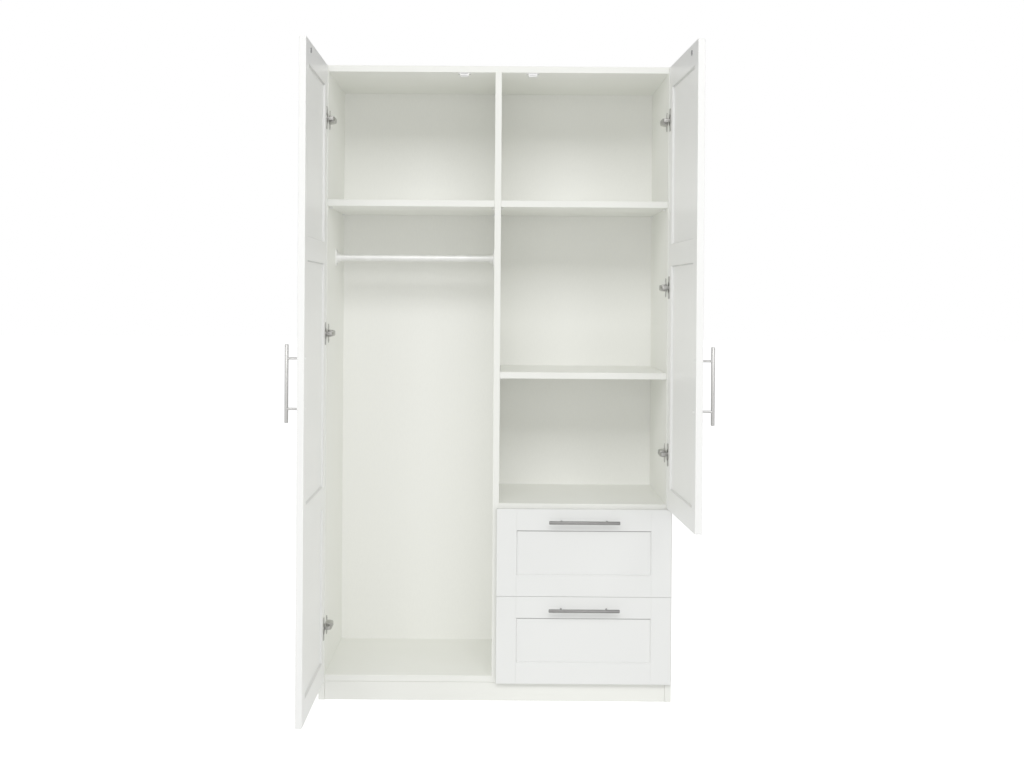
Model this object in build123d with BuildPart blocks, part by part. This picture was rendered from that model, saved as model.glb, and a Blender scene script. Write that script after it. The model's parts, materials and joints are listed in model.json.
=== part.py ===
from build123d import *
import os
from math import cos, radians, sin

os.makedirs("parts", exist_ok=True)

# Two-door wardrobe with two drawers. Millimetres, +X right, +Y to the back, +Z up.
# The origin is on the floor, at the centre of the carcass's footprint.

# Carcass
width = 1000.0
height = 1800.0
carcass_depth = 474.0
board = 18.0
back_thickness = 3.0
back_reveal = 2.0
back_floor_gap = 20.0
back_joint = 1.0
plinth_height = 55.0
plinth_setback = 3.0
plinth_top_gap = 1.0
plinth_end_gap = 0.5
board_edge_radius = 0.8

# Floor glides under the side panels and the centre support
glide_height = 1.5
glide_radius = 9.0
glide_y = 200.0
glide_chamfer = 0.3

# Shelves, by the height of their top faces
upper_shelf_top = 1420.0
middle_shelf_top = 934.0
drawer_deck_top = 562.0
shelf_side_gap = 0.5
shelf_setback = 2.0
shelf_rear_gap = 1.0
shelf_pin_radius = 2.5
shelf_pin_reach = 8.0
shelf_pin_y = 180.0

# Doors and drawer fronts: framed fronts with a thin panel in a groove
front_thickness = 18.0
front_gap = 3.0
front_reveal = 3.0
front_top = height - 2.0
front_bottom = plinth_height + 1.0
door_width = 495.0
right_door_bottom = 552.0
drawer_front_left = 3.0
drawer_front_right = 496.0
drawer_split = 1.0
drawer_front_height = 246.0
stile_width = 56.0
rail_width = 60.0
groove_depth = 8.0
panel_thickness = 6.0
panel_play = 1.0
outer_edge_radius = 1.5
joint_chamfer = 0.4
upper_cross_rail = 1237.0
lower_cross_rail = 552.0

# Angles at which the doors stand open in the stored pose
left_door_open = 90.0
right_door_open = 92.0

# Concealed hinges: one pivot pin per hinge, inside a cup sunk in the door stile
pin_inset = 7.0
pin_depth = 6.5
pin_radius = 1.2
pin_half_length = 8.8
pin_clearance = 0.05
cup_radius = 17.5
cup_wall = 1.0
cup_depth = 11.5
cup_inset = 20.5
cup_flange = (24.0, 64.0)
cup_flange_radius = 6.0
flange_thickness = 1.5
lug_width = 6.0
lug_top = 4.0
lug_inner = 5.5
lug_outer = 9.2
cup_screw_offset = 24.0
nose_radius = 2.2
nose_half_width = 4.5
crank_reach = 24.5
crank_thickness = 3.0
crank_overlap = 2.0
arm_rise = 18.0
arm_foot_half_width = 10.0
arm_top_half_width = 7.0
arm_start = 8.0
arm_end = 60.0
plate_thickness = 2.0
plate_start = 20.0
plate_end = 56.0
plate_margin = 2.5
plate_wing_width = 14.0
plate_wing_half_height = 27.0
plate_wing_radius = 5.0
plate_foot_radius = 3.0
plate_screw_y = 37.0
plate_screw_z = 19.0
left_hinge_heights = (207.0, 1040.0, 1648.0)
right_hinge_heights = (705.0, 1176.0, 1648.0)

# Bar handles
handle_length = 200.0
handle_radius = 5.0
handle_post_radius = 3.0
handle_post_spacing = 128.0
handle_reach = 30.0
handle_end_chamfer = 0.6
door_handle_height = 923.0
door_handle_inset = 30.0
drawer_handle_drop = 34.0

# Hanging rail
rail_height = 1262.0
rail_radius = 11.0
rail_wall = 1.2
rail_plate_thickness = 3.0
rail_plate_size = (34.0, 52.0)
rail_plate_radius = 8.0
rail_socket_radius = 14.0
rail_socket_length = 10.0
rail_screw_z = 19.0

# Magnetic catches under the top panel and their strike plates on the doors
catch_x = 97.0
catch_size = (38.0, 24.0, 11.0)
catch_setback = 1.0
catch_edge_radius = 1.0
strike_radius = 7.0
strike_thickness = 3.0

# Drawer boxes on roller runners
drawer_side_thickness = 12.0
runner_space = 12.5
box_lift = 28.0
box_height = 160.0
box_back_drop = 12.0
box_length = 420.0
box_bottom_lift = 10.0
box_bottom_groove = 6.0
box_edge_radius = 1.0
runner_sheet = 1.2
channel_height = 20.0
channel_lift = 2.2
channel_flange = 9.5
channel_front = 2.0
channel_length = 410.0
channel_cutaway = 30.0
roller_front_y = 15.0
roller_rear_y = 15.0
front_roller_radius = 10.0
rear_roller_radius = 8.5
roller_near = 2.5
roller_width = 6.0
roller_chamfer = 0.4
stud_radius = 2.0
stud_clearance = 0.05
stud_tip = 0.5
stud_start = 0.1
member_top = 24.0
member_flange_start = 3.0
member_foot = 10.0
member_screw_lift = 5.0
member_screw_hold = 9.0
member_screw_spots = (-180.0, 0.0, 120.0)
channel_screw_spots = (-150.0, 10.0, 150.0)

# Fasteners
screw_radius = 1.5
screw_length = 12.0
screw_head_radius = 3.5
screw_head_height = 1.0
handle_screw_radius = 2.0
cam_radius = 7.5
cam_depth = 12.5
cam_distance = 26.0
cam_bolt_radius = 3.0
cam_bolt_hold = 11.0
cam_bolt_tip = 2.0
cam_bolt_y = 185.0

# Derived planes and heights
half_width = width / 2
side_inner = half_width - board
half_board = board / 2
carcass_front = -carcass_depth / 2
carcass_rear = carcass_depth / 2
boards_rear = carcass_rear - back_thickness
fronts_inner = carcass_front - front_gap
bottom_top = plinth_height + board
top_under = height - board
pin_x = half_width - front_reveal - pin_inset
pin_y = fronts_inner - pin_depth
panel_groove = (front_thickness - panel_thickness) / 2
strike_height = top_under - catch_size[2] / 2
box_outer_left = half_board + runner_space
box_outer_right = side_inner - runner_space
box_rear = fronts_inner + box_length
drawer_bottoms = {
    "lower": front_bottom,
    "upper": front_bottom + drawer_front_height + drawer_split,
}


def save(builder, node):
    """Label a finished piece and write its STEP file."""
    builder.part.label = node
    export_step(builder.part, f"parts/{node}.step")


def block(x0, x1, y0, y1, z0, z1, mode=Mode.ADD):
    """Rectangular block between two corners, in the part being built."""
    with Locations(((x0 + x1) / 2, (y0 + y1) / 2, (z0 + z1) / 2)):
        Box(abs(x1 - x0), abs(y1 - y0), abs(z1 - z0), mode=mode)


def rod_x(points, radius, x_near, x_far, mode=Mode.ADD):
    """Rods along X from x_near to x_far, one through each (y, z) point."""
    middle = (x_near + x_far) / 2
    with Locations(*[(middle, y, z) for y, z in points]):
        Cylinder(radius, abs(x_far - x_near), rotation=(0, 90, 0), mode=mode)


# Fastener positions shared by the boards that they join
cam_panels = {
    "top": (height - half_board, side_inner),
    "bottom": (plinth_height + half_board, side_inner),
    "deck": (drawer_deck_top - half_board, side_inner),
}
cam_rows = (-cam_bolt_y, cam_bolt_y)
cam_points = {node: [(y, z) for y in cam_rows] for node, (z, _) in cam_panels.items()}
shelf_levels = {
    "left_upper": upper_shelf_top - board,
    "right_upper": upper_shelf_top - board,
    "right_middle": middle_shelf_top - board,
}
rail_screws = [(0.0, rail_height - rail_screw_z), (0.0, rail_height + rail_screw_z)]


def pin_points(level):
    """Shelf pin centres, just under a shelf at this level."""
    return [(y, level - shelf_pin_radius) for y in (-shelf_pin_y, shelf_pin_y)]


def plate_screw_points(heights):
    """Screws of the hinge mounting plates."""
    y = carcass_front + plate_screw_y
    return [(y, z + offset) for z in heights for offset in (-plate_screw_z, plate_screw_z)]


def channel_base(drawer):
    """Underside of a cabinet runner channel."""
    return drawer_bottoms[drawer] + box_lift + channel_lift


def runner_screw_points():
    """Screws of the cabinet runners, in the middle of each channel."""
    spots = []
    for drawer in drawer_bottoms:
        z = channel_base(drawer) + channel_height / 2
        for y in channel_screw_spots:
            spots.append((y, z))
    return spots


# ---------------------------------------------------------------- carcass

# Side panels, full height and depth, on glides
with BuildPart() as left_side_panel:
    block(-half_width, -side_inner, carcass_front, boards_rear, glide_height, height)
    fillet(left_side_panel.edges().filter_by(Axis.Z).group_by(Axis.Y)[0], board_edge_radius)
    inner = -side_inner
    for node in ("top", "bottom"):
        rod_x(cam_points[node], cam_bolt_radius, inner - cam_bolt_hold, inner, Mode.SUBTRACT)
    pins = pin_points(shelf_levels["left_upper"])
    rod_x(pins, shelf_pin_radius, inner - shelf_pin_reach, inner, Mode.SUBTRACT)
    rod_x(plate_screw_points(left_hinge_heights), screw_radius, inner - screw_length, inner, Mode.SUBTRACT)
    rod_x(rail_screws, screw_radius, inner - screw_length, inner, Mode.SUBTRACT)
save(left_side_panel, "left_side_panel")

with BuildPart() as right_side_panel:
    block(side_inner, half_width, carcass_front, boards_rear, glide_height, height)
    fillet(right_side_panel.edges().filter_by(Axis.Z).group_by(Axis.Y)[0], board_edge_radius)
    for node in cam_points:
        rod_x(cam_points[node], cam_bolt_radius, side_inner, side_inner + cam_bolt_hold, Mode.SUBTRACT)
    for shelf in ("right_upper", "right_middle"):
        reach = side_inner + shelf_pin_reach
        rod_x(pin_points(shelf_levels[shelf]), shelf_pin_radius, side_inner, reach, Mode.SUBTRACT)
    depth = side_inner + screw_length
    rod_x(plate_screw_points(right_hinge_heights), screw_radius, side_inner, depth, Mode.SUBTRACT)
    rod_x(runner_screw_points(), screw_radius, side_inner, depth, Mode.SUBTRACT)
save(right_side_panel, "right_side_panel")

# Divider between the hanging space and the shelves
with BuildPart() as centre_divider:
    block(-half_board, half_board, carcass_front, boards_rear, bottom_top, top_under)
    fillet(centre_divider.edges().filter_by(Axis.Z).group_by(Axis.Y)[0], board_edge_radius)
    rod_x(cam_points["deck"], cam_bolt_radius, half_board - cam_bolt_hold, half_board, Mode.SUBTRACT)
    left_face = shelf_pin_reach - half_board
    rod_x(pin_points(shelf_levels["left_upper"]), shelf_pin_radius, -half_board, left_face, Mode.SUBTRACT)
    for shelf in ("right_upper", "right_middle"):
        rod_x(pin_points(shelf_levels[shelf]), shelf_pin_radius, -left_face, half_board, Mode.SUBTRACT)
    rod_x(rail_screws, screw_radius, -half_board, screw_length - half_board, Mode.SUBTRACT)
    rod_x(runner_screw_points(), screw_radius, half_board - screw_length, half_board, Mode.SUBTRACT)
save(centre_divider, "centre_divider")


def cam_board(x_left, x_right, z0, cam_face):
    """Horizontal board with cam bores in one face and bolt bores in its ends."""
    block(x_left, x_right, carcass_front, boards_rear, z0, z0 + board)
    middle = z0 + half_board
    sink = cam_depth / 2 if cam_face < middle else -cam_depth / 2
    for end, inward in ((x_left, 1), (x_right, -1)):
        cam_x = end + inward * cam_distance
        rod_x([(y, middle) for y in cam_rows], cam_bolt_radius, end, cam_x, Mode.SUBTRACT)
        with Locations(*[(cam_x, y, cam_face + sink) for y in cam_rows]):
            Cylinder(cam_radius, cam_depth, mode=Mode.SUBTRACT)


# Top and bottom panels between the sides
with BuildPart() as top_panel:
    cam_board(-side_inner, side_inner, top_under, height)
    fillet(top_panel.edges().filter_by(Axis.X).group_by(Axis.Y)[0], board_edge_radius)
save(top_panel, "top_panel")

with BuildPart() as bottom_panel:
    cam_board(-side_inner, side_inner, plinth_height, plinth_height)
    fillet(bottom_panel.edges().filter_by(Axis.X).group_by(Axis.Y)[0], board_edge_radius)
save(bottom_panel, "bottom_panel")

# Deck above the drawers, between the divider and the right side
with BuildPart() as drawer_deck:
    deck_under = drawer_deck_top - board
    cam_board(half_board, side_inner, deck_under, deck_under)
    fillet(drawer_deck.edges().filter_by(Axis.X).group_by(Axis.Y)[0], board_edge_radius)
save(drawer_deck, "drawer_deck")

# Loose shelves on pins
shelf_front = carcass_front + shelf_setback
shelf_rear = boards_rear - shelf_rear_gap
shelf_spans = {
    "left_upper": (-side_inner, -half_board),
    "right_upper": (half_board, side_inner),
    "right_middle": (half_board, side_inner),
}
for node, shelves in (("upper_shelves", ("left_upper", "right_upper")), ("middle_shelf", ("right_middle",))):
    with BuildPart() as shelf:
        for name in shelves:
            x_near = shelf_spans[name][0] + shelf_side_gap
            x_far = shelf_spans[name][1] - shelf_side_gap
            level = shelf_levels[name]
            block(x_near, x_far, shelf_front, shelf_rear, level, level + board)
        fillet(shelf.edges().filter_by(Axis.X).group_by(Axis.Y)[0], board_edge_radius)
    save(shelf, node)

# Plinth boards, with an open joint above and at their ends, and the support under the divider
plinth_front = carcass_front + plinth_setback
with BuildPart() as plinth_boards:
    plinth_end = side_inner - plinth_end_gap
    plinth_top = plinth_height - plinth_top_gap
    for y_near in (plinth_front, boards_rear - board):
        block(-plinth_end, plinth_end, y_near, y_near + board, glide_height, plinth_top)
    fillet(plinth_boards.edges().filter_by(Axis.X).group_by(Axis.Y)[0], board_edge_radius)
save(plinth_boards, "plinth_boards")

with BuildPart() as centre_support:
    block(-half_board, half_board, plinth_front + board, boards_rear - board, glide_height, plinth_height)
save(centre_support, "centre_support")

# Glides: the middle one stands on the origin
side_glide_x = half_width - half_board
with BuildPart() as floor_glides:
    spots = [(0.0, 0.0)] + [(x, y) for x in (-side_glide_x, side_glide_x) for y in (-glide_y, glide_y)]
    with BuildSketch():
        with Locations(*spots):
            Circle(glide_radius)
    extrude(amount=glide_height)
    chamfer(floor_glides.faces().sort_by(Axis.Z)[: len(spots)].edges(), glide_chamfer)
save(floor_glides, "floor_glides")

# Two thin back panels, meeting behind the divider
for name, side in (("left", -1), ("right", 1)):
    with BuildPart() as back_panel:
        x_near = side * back_joint / 2
        x_far = side * (half_width - back_reveal)
        block(x_near, x_far, boards_rear, carcass_rear, back_floor_gap, height - back_reveal)
    save(back_panel, f"{name}_back_panel")

# Cams in the panels, with their bolts screwed into the sides and the divider
with BuildPart() as cam_locks:
    for node, (middle, far_end) in cam_panels.items():
        near_end = half_board if node == "deck" else -side_inner
        cam_face = height if node == "top" else middle - half_board
        sink = -cam_depth / 2 if node == "top" else cam_depth / 2
        for end, inward in ((near_end, 1), (far_end, -1)):
            cam_x = end + inward * cam_distance
            with Locations(*[(cam_x, y, cam_face + sink) for y in cam_rows]):
                Cylinder(cam_radius, cam_depth)
            bolt_tip = end + inward * (cam_distance - cam_radius + cam_bolt_tip)
            rod_x([(y, middle) for y in cam_rows], cam_bolt_radius, end - inward * cam_bolt_hold, bolt_tip)
save(cam_locks, "cam_locks")

# Shelf pins, four to a shelf
with BuildPart() as shelf_pins:
    for name, faces in shelf_spans.items():
        for face in faces:
            points = pin_points(shelf_levels[name])
            rod_x(points, shelf_pin_radius, face - shelf_pin_reach, face + shelf_pin_reach)
save(shelf_pins, "shelf_pins")

# Hanging rail, a tube across the hanging space at half depth
rail_left = -side_inner + rail_plate_thickness
rail_right = -half_board - rail_plate_thickness
with BuildPart() as hanging_rail:
    with BuildSketch(Plane.YZ.offset(rail_left)):
        with Locations((0, rail_height)):
            Circle(rail_radius)
            Circle(rail_radius - rail_wall, mode=Mode.SUBTRACT)
    extrude(amount=rail_right - rail_left)
save(hanging_rail, "hanging_rail")

# Rail end brackets: a plate with a socket round the tube
with BuildPart() as rail_brackets:
    for face, inward in ((-side_inner, 1), (-half_board, -1)):
        with BuildSketch(Plane.YZ.offset(face)):
            with Locations((0, rail_height)):
                RectangleRounded(*rail_plate_size, rail_plate_radius)
            with Locations(*rail_screws):
                Circle(screw_radius, mode=Mode.SUBTRACT)
        extrude(amount=inward * rail_plate_thickness)
        with BuildSketch(Plane.YZ.offset(face + inward * rail_plate_thickness)):
            with Locations((0, rail_height)):
                Circle(rail_socket_radius)
                Circle(rail_radius, mode=Mode.SUBTRACT)
        extrude(amount=inward * rail_socket_length)
save(rail_brackets, "rail_brackets")

# Magnetic catches under the top panel
catch_y = carcass_front + catch_setback
with BuildPart() as magnetic_catches:
    for side in (-1, 1):
        x_near = side * catch_x - catch_size[0] / 2
        y_far = catch_y + catch_size[1]
        block(x_near, x_near + catch_size[0], catch_y, y_far, top_under - catch_size[2], top_under)
    fillet(magnetic_catches.edges().filter_by(Axis.Z), catch_edge_radius)
save(magnetic_catches, "magnetic_catches")

# ---------------------------------------------------------------- hinges on the carcass

hinge_sides = {"left": (-1, left_hinge_heights), "right": (1, right_hinge_heights)}

# Mounting plates, flat on the inner faces of the side panels
foot_size = (plate_end - plate_start, 2 * (arm_foot_half_width + plate_margin))
foot_y = carcass_front + (plate_start + plate_end) / 2
wing_y = carcass_front + plate_screw_y
with BuildPart() as hinge_plates:
    for side, heights in hinge_sides.values():
        wall = side * side_inner
        face = wall - side * plate_thickness
        for z in heights:
            with BuildSketch(Plane.YZ.offset(min(wall, face))):
                with Locations((wing_y, z)):
                    RectangleRounded(plate_wing_width, 2 * plate_wing_half_height, plate_wing_radius)
                with Locations((foot_y, z)):
                    RectangleRounded(*foot_size, plate_foot_radius)
                with Locations((wing_y, z - plate_screw_z), (wing_y, z + plate_screw_z)):
                    Circle(screw_radius, mode=Mode.SUBTRACT)
            extrude(amount=plate_thickness)
save(hinge_plates, "hinge_plates")

# Arms: a nose round the pivot pin, a crank out of the cup, and a body on the plate,
# wider at its foot than along its top
crank_length = nose_radius + pin_depth + front_gap + arm_start + crank_overlap
crank_y = pin_y - nose_radius + crank_length / 2
with BuildPart() as hinge_arms:
    for side, heights in hinge_sides.values():
        pivot_x = side * pin_x
        foot_x = side * (side_inner - plate_thickness)
        top_x = side * (side_inner - arm_rise)
        for z in heights:
            with BuildSketch(Plane.XY.offset(z - nose_half_width)):
                with Locations((pivot_x, pin_y)):
                    Circle(nose_radius)
                with Locations((pivot_x - side * crank_reach / 2, pin_y - nose_radius / 2)):
                    Rectangle(crank_reach, nose_radius)
                with Locations((pivot_x - side * (crank_reach - crank_thickness / 2), crank_y)):
                    Rectangle(crank_thickness, crank_length)
                with Locations((pivot_x, pin_y)):
                    Circle(pin_radius + pin_clearance, mode=Mode.SUBTRACT)
            extrude(amount=2 * nose_half_width)
            with BuildSketch(Plane.XZ.offset(-carcass_front - arm_end)):
                Polygon(
                    (foot_x, z - arm_foot_half_width),
                    (foot_x, z + arm_foot_half_width),
                    (top_x, z + arm_top_half_width),
                    (top_x, z - arm_top_half_width),
                    align=None,
                )
            extrude(amount=arm_end - arm_start)
save(hinge_arms, "hinge_arms")

# Screws of the hinge plates, the rail brackets and the cabinet runners
with BuildPart() as carcass_screws:
    screw_sets = [
        (plate_screw_points(left_hinge_heights), -side_inner, 1, plate_thickness),
        (plate_screw_points(right_hinge_heights), side_inner, -1, plate_thickness),
        (rail_screws, -side_inner, 1, rail_plate_thickness),
        (rail_screws, -half_board, -1, rail_plate_thickness),
        (runner_screw_points(), half_board, 1, runner_sheet),
        (runner_screw_points(), side_inner, -1, runner_sheet),
    ]
    for points, wall, inward, seat in screw_sets:
        rod_x(points, screw_radius, wall - inward * screw_length, wall + inward * seat)
        head_start = wall + inward * seat
        rod_x(points, screw_head_radius, head_start, head_start + inward * screw_head_height)
save(carcass_screws, "carcass_screws")

# ---------------------------------------------------------------- fronts


def slab(inner, x0, x1, z0, z1, depth0, depth1, mode=Mode.ADD):
    """Block on a front's inner plane: x across, z up, depth outwards."""
    with BuildSketch(inner.offset(depth0)) as profile:
        with Locations(((x0 + x1) / 2, (z0 + z1) / 2)):
            Rectangle(abs(x1 - x0), z1 - z0)
    extrude(profile.sketch, amount=depth1 - depth0, mode=mode)


def bores(inner, points, radius, depth0, depth1, mode=Mode.SUBTRACT):
    """Round bores or rods square to a front's inner plane."""
    with BuildSketch(inner.offset(depth0)) as profile:
        with Locations(*points):
            Circle(radius)
    extrude(profile.sketch, amount=depth1 - depth0, mode=mode)


def cut_fixings(inner, fixings):
    """Cut every fixing bore: (points, radius, depth from, depth to)."""
    for points, radius, depth0, depth1 in fixings:
        bores(inner, points, radius, depth0, depth1)


def make_stiles(inner, x0, x1, z0, z1, fixings):
    """Two full-height stiles, grooved for the panels."""
    near = panel_groove
    far = panel_groove + panel_thickness
    with BuildPart() as stiles:
        slab(inner, x0, x0 + stile_width, z0, z1, 0, front_thickness)
        slab(inner, x1 - stile_width, x1, z0, z1, 0, front_thickness)
        upright = stiles.edges().filter_by(Axis.Z)
        across = upright.sort_by(lambda edge: inner.to_local_coords(edge.center()).X)
        fillet(across[:2] + across[-2:], outer_edge_radius)
        groove_left = x0 + stile_width - groove_depth
        groove_right = x1 - stile_width
        slab(inner, groove_left, groove_left + groove_depth, z0, z1, near, far, Mode.SUBTRACT)
        slab(inner, groove_right, groove_right + groove_depth, z0, z1, near, far, Mode.SUBTRACT)
        cut_fixings(inner, fixings)
    return stiles


def make_rails(inner, x0, x1, z0, z1, rail_bottoms, fixings):
    """Cross rails between the stiles, tongued at their ends and grooved for the panels."""
    near = panel_groove
    far = panel_groove + panel_thickness
    left = x0 + stile_width
    right = x1 - stile_width
    with BuildPart() as rails:
        for bottom in rail_bottoms:
            slab(inner, left, right, bottom, bottom + rail_width, 0, front_thickness)
        upright = rails.edges().filter_by(Axis.Z)
        chamfer(upright, joint_chamfer)
        for bottom in rail_bottoms:
            top = bottom + rail_width
            slab(inner, left - groove_depth, right + groove_depth, bottom, top, near, far)
            if bottom > z0:
                slab(inner, left - groove_depth, right + groove_depth, bottom, bottom + groove_depth,
                     near, far, Mode.SUBTRACT)
            if top < z1:
                slab(inner, left - groove_depth, right + groove_depth, top - groove_depth, top,
                     near, far, Mode.SUBTRACT)
        cut_fixings(inner, fixings)
    return rails


def make_panels(inner, x0, x1, rail_bottoms):
    """Thin panels held in the grooves, with a little play at their edges."""
    hold = groove_depth - panel_play
    with BuildPart() as panels:
        for lower, upper in zip(rail_bottoms, rail_bottoms[1:]):
            slab(inner, x0 + stile_width - hold, x1 - stile_width + hold,
                 lower + rail_width - hold, upper + hold,
                 panel_groove, panel_groove + panel_thickness)
    return panels


def make_handle(inner, x, z, upright):
    """Bar handle on two posts, in front of a front's outer face."""
    half_spacing = handle_post_spacing / 2
    axis_depth = front_thickness + handle_reach
    offsets = [(0, -half_spacing), (0, half_spacing)] if upright else [(-half_spacing, 0), (half_spacing, 0)]
    posts = [(x + dx, z + dz) for dx, dz in offsets]
    start = inner.from_local_coords((x, z - handle_length / 2, axis_depth))
    direction = inner.y_dir
    if not upright:
        start = inner.from_local_coords((x - handle_length / 2, z, axis_depth))
        direction = inner.x_dir
    with BuildPart() as handle:
        with BuildSketch(Plane(origin=start, z_dir=direction)) as bar:
            Circle(handle_radius)
        extrude(bar.sketch, amount=handle_length)
        ends = handle.edges().filter_by(GeomType.CIRCLE)
        chamfer(ends, handle_end_chamfer)
        bores(inner, posts, handle_post_radius, front_thickness, axis_depth, Mode.ADD)
        bores(inner, posts, handle_screw_radius, front_thickness, front_thickness + screw_length)
    return handle, posts


def add_screws(inner, points, radius, seat, depth, head_radius, head_height):
    """Screws entering from the inner face: the head stands on seat, the shank ends at depth."""
    bores(inner, points, radius, seat, depth, Mode.ADD)
    bores(inner, points, head_radius, seat - head_height, seat, Mode.ADD)


def door_plane(side, opening):
    """Inner face of a door turned open about its pivot pin; local x = 0 at the pin."""
    turn = radians(side * opening)
    across = Vector(cos(turn), sin(turn), 0)
    outward = Vector(sin(turn), -cos(turn), 0)
    pivot = Plane(origin=(side * pin_x, pin_y, 0), x_dir=across, z_dir=outward)
    return pivot.offset(-pin_depth)


def make_hinge_cups(inner, heights, cup_x):
    """Cups sunk in the stile, with a flange, screw holes and lugs that hold the pivot pin."""
    floor = cup_depth - cup_wall
    screw_points = [(cup_x, z + offset) for z in heights for offset in (-cup_screw_offset, cup_screw_offset)]
    centres = [(cup_x, z) for z in heights]
    with BuildPart() as cups:
        with BuildSketch(inner.offset(-flange_thickness)) as flanges:
            with Locations(*centres):
                RectangleRounded(*cup_flange, cup_flange_radius)
            with Locations(*screw_points):
                Circle(screw_radius, mode=Mode.SUBTRACT)
        extrude(flanges.sketch, amount=flange_thickness)
        bores(inner, centres, cup_radius, 0, cup_depth, Mode.ADD)
        bores(inner, centres, cup_radius - cup_wall, -flange_thickness, floor)
        for z in heights:
            with BuildSketch(inner.offset(lug_top)) as lugs:
                with Locations((cup_x, z)):
                    Circle(cup_radius - cup_wall / 2)
                with Locations((0, z)):
                    Rectangle(lug_width, 2 * lug_outer, mode=Mode.INTERSECT)
                    Rectangle(lug_width, 2 * lug_inner, mode=Mode.SUBTRACT)
            extrude(lugs.sketch, amount=floor - lug_top)
        with Locations(*[inner.from_local_coords((0, z, pin_depth)) for z in heights]):
            Cylinder(pin_radius, 2 * pin_half_length, mode=Mode.SUBTRACT)
    return cups, screw_points


def make_door(name, side, opening, bottom, cross_rails, heights):
    """Door with all that turns with it. Side is -1 for the left door, 1 for the right."""
    inner = door_plane(side, opening)
    hinge_edge = side * pin_inset
    lead_edge = hinge_edge - side * door_width
    x0 = min(hinge_edge, lead_edge)
    x1 = max(hinge_edge, lead_edge)
    cup_x = hinge_edge - side * cup_inset
    handle_x = lead_edge + side * door_handle_inset
    strike_x = side * (catch_x - pin_x)

    cups, cup_screws = make_hinge_cups(inner, heights, cup_x)
    save(cups, f"{name}_hinge_cups")
    handle, posts = make_handle(inner, handle_x, door_handle_height, upright=True)
    save(handle, f"{name}_handle")

    rail_bottoms = [bottom] + cross_rails + [front_top - rail_width]
    fixings = [
        ([(cup_x, z) for z in heights], cup_radius, 0, cup_depth),
        (cup_screws, screw_radius, 0, screw_length),
        (posts, handle_screw_radius, 0, front_thickness),
    ]
    save(make_stiles(inner, x0, x1, bottom, front_top, fixings), f"{name}_stiles")
    save(make_rails(inner, x0, x1, bottom, front_top, rail_bottoms, []), f"{name}_rails")
    save(make_panels(inner, x0, x1, rail_bottoms), f"{name}_panels")

    with BuildPart() as pins:
        with Locations(*[inner.from_local_coords((0, z, pin_depth)) for z in heights]):
            Cylinder(pin_radius, 2 * pin_half_length)
    save(pins, f"{name}_hinge_pins")

    with BuildPart() as screws:
        seat = -flange_thickness
        add_screws(inner, cup_screws, screw_radius, seat, screw_length, screw_head_radius, screw_head_height)
        tip = front_thickness + screw_length
        add_screws(inner, posts, handle_screw_radius, 0, tip, screw_head_radius, screw_head_height)
    save(screws, f"{name}_screws")

    with BuildPart() as strike:
        bores(inner, [(strike_x, strike_height)], strike_radius, -strike_thickness, 0, Mode.ADD)
    save(strike, f"{name}_strike")


left_cross_rails = [lower_cross_rail, upper_cross_rail]
make_door("left_door", -1, left_door_open, front_bottom, left_cross_rails, left_hinge_heights)
make_door("right_door", 1, right_door_open, right_door_bottom, [upper_cross_rail], right_hinge_heights)

# ---------------------------------------------------------------- drawers

drawer_walls = ((half_board, 1), (side_inner, -1))
front_roller_y = carcass_front + roller_front_y
rear_roller_y = box_rear - roller_rear_y

# Roller channels on the divider and the right side, each with a stud for its front roller
with BuildPart() as cabinet_runners:
    y_near = carcass_front + channel_front
    y_far = y_near + channel_length
    for drawer in drawer_bottoms:
        base = channel_base(drawer)
        top = base + channel_height
        axle = (front_roller_y, base + channel_height / 2)
        for wall, inward in drawer_walls:
            web = wall + inward * runner_sheet
            lip = wall + inward * channel_flange
            block(wall, web, y_near, y_far, base, top)
            block(wall, lip, y_near + channel_cutaway, y_far, base, base + runner_sheet)
            block(wall, lip, y_near + channel_cutaway, y_far, top - runner_sheet, top)
            rod_x([axle], stud_radius, wall, wall + inward * (roller_near + roller_width + stud_tip))
    for wall, inward in drawer_walls:
        rod_x(runner_screw_points(), screw_radius, wall, wall + inward * runner_sheet, Mode.SUBTRACT)
save(cabinet_runners, "cabinet_runners")


def make_rollers(y, z, radius):
    """Pair of rollers on one axis line, one at each side of a drawer."""
    with BuildPart() as rollers:
        for wall, inward in drawer_walls:
            near = wall + inward * roller_near
            far = near + inward * roller_width
            rod_x([(y, z)], radius, near, far)
            rod_x([(y, z)], stud_radius + stud_clearance, near, far, Mode.SUBTRACT)
        rims = rollers.edges().filter_by(GeomType.CIRCLE).group_by(SortBy.RADIUS)[-1]
        chamfer(rims, roller_chamfer)
    return rollers


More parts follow.
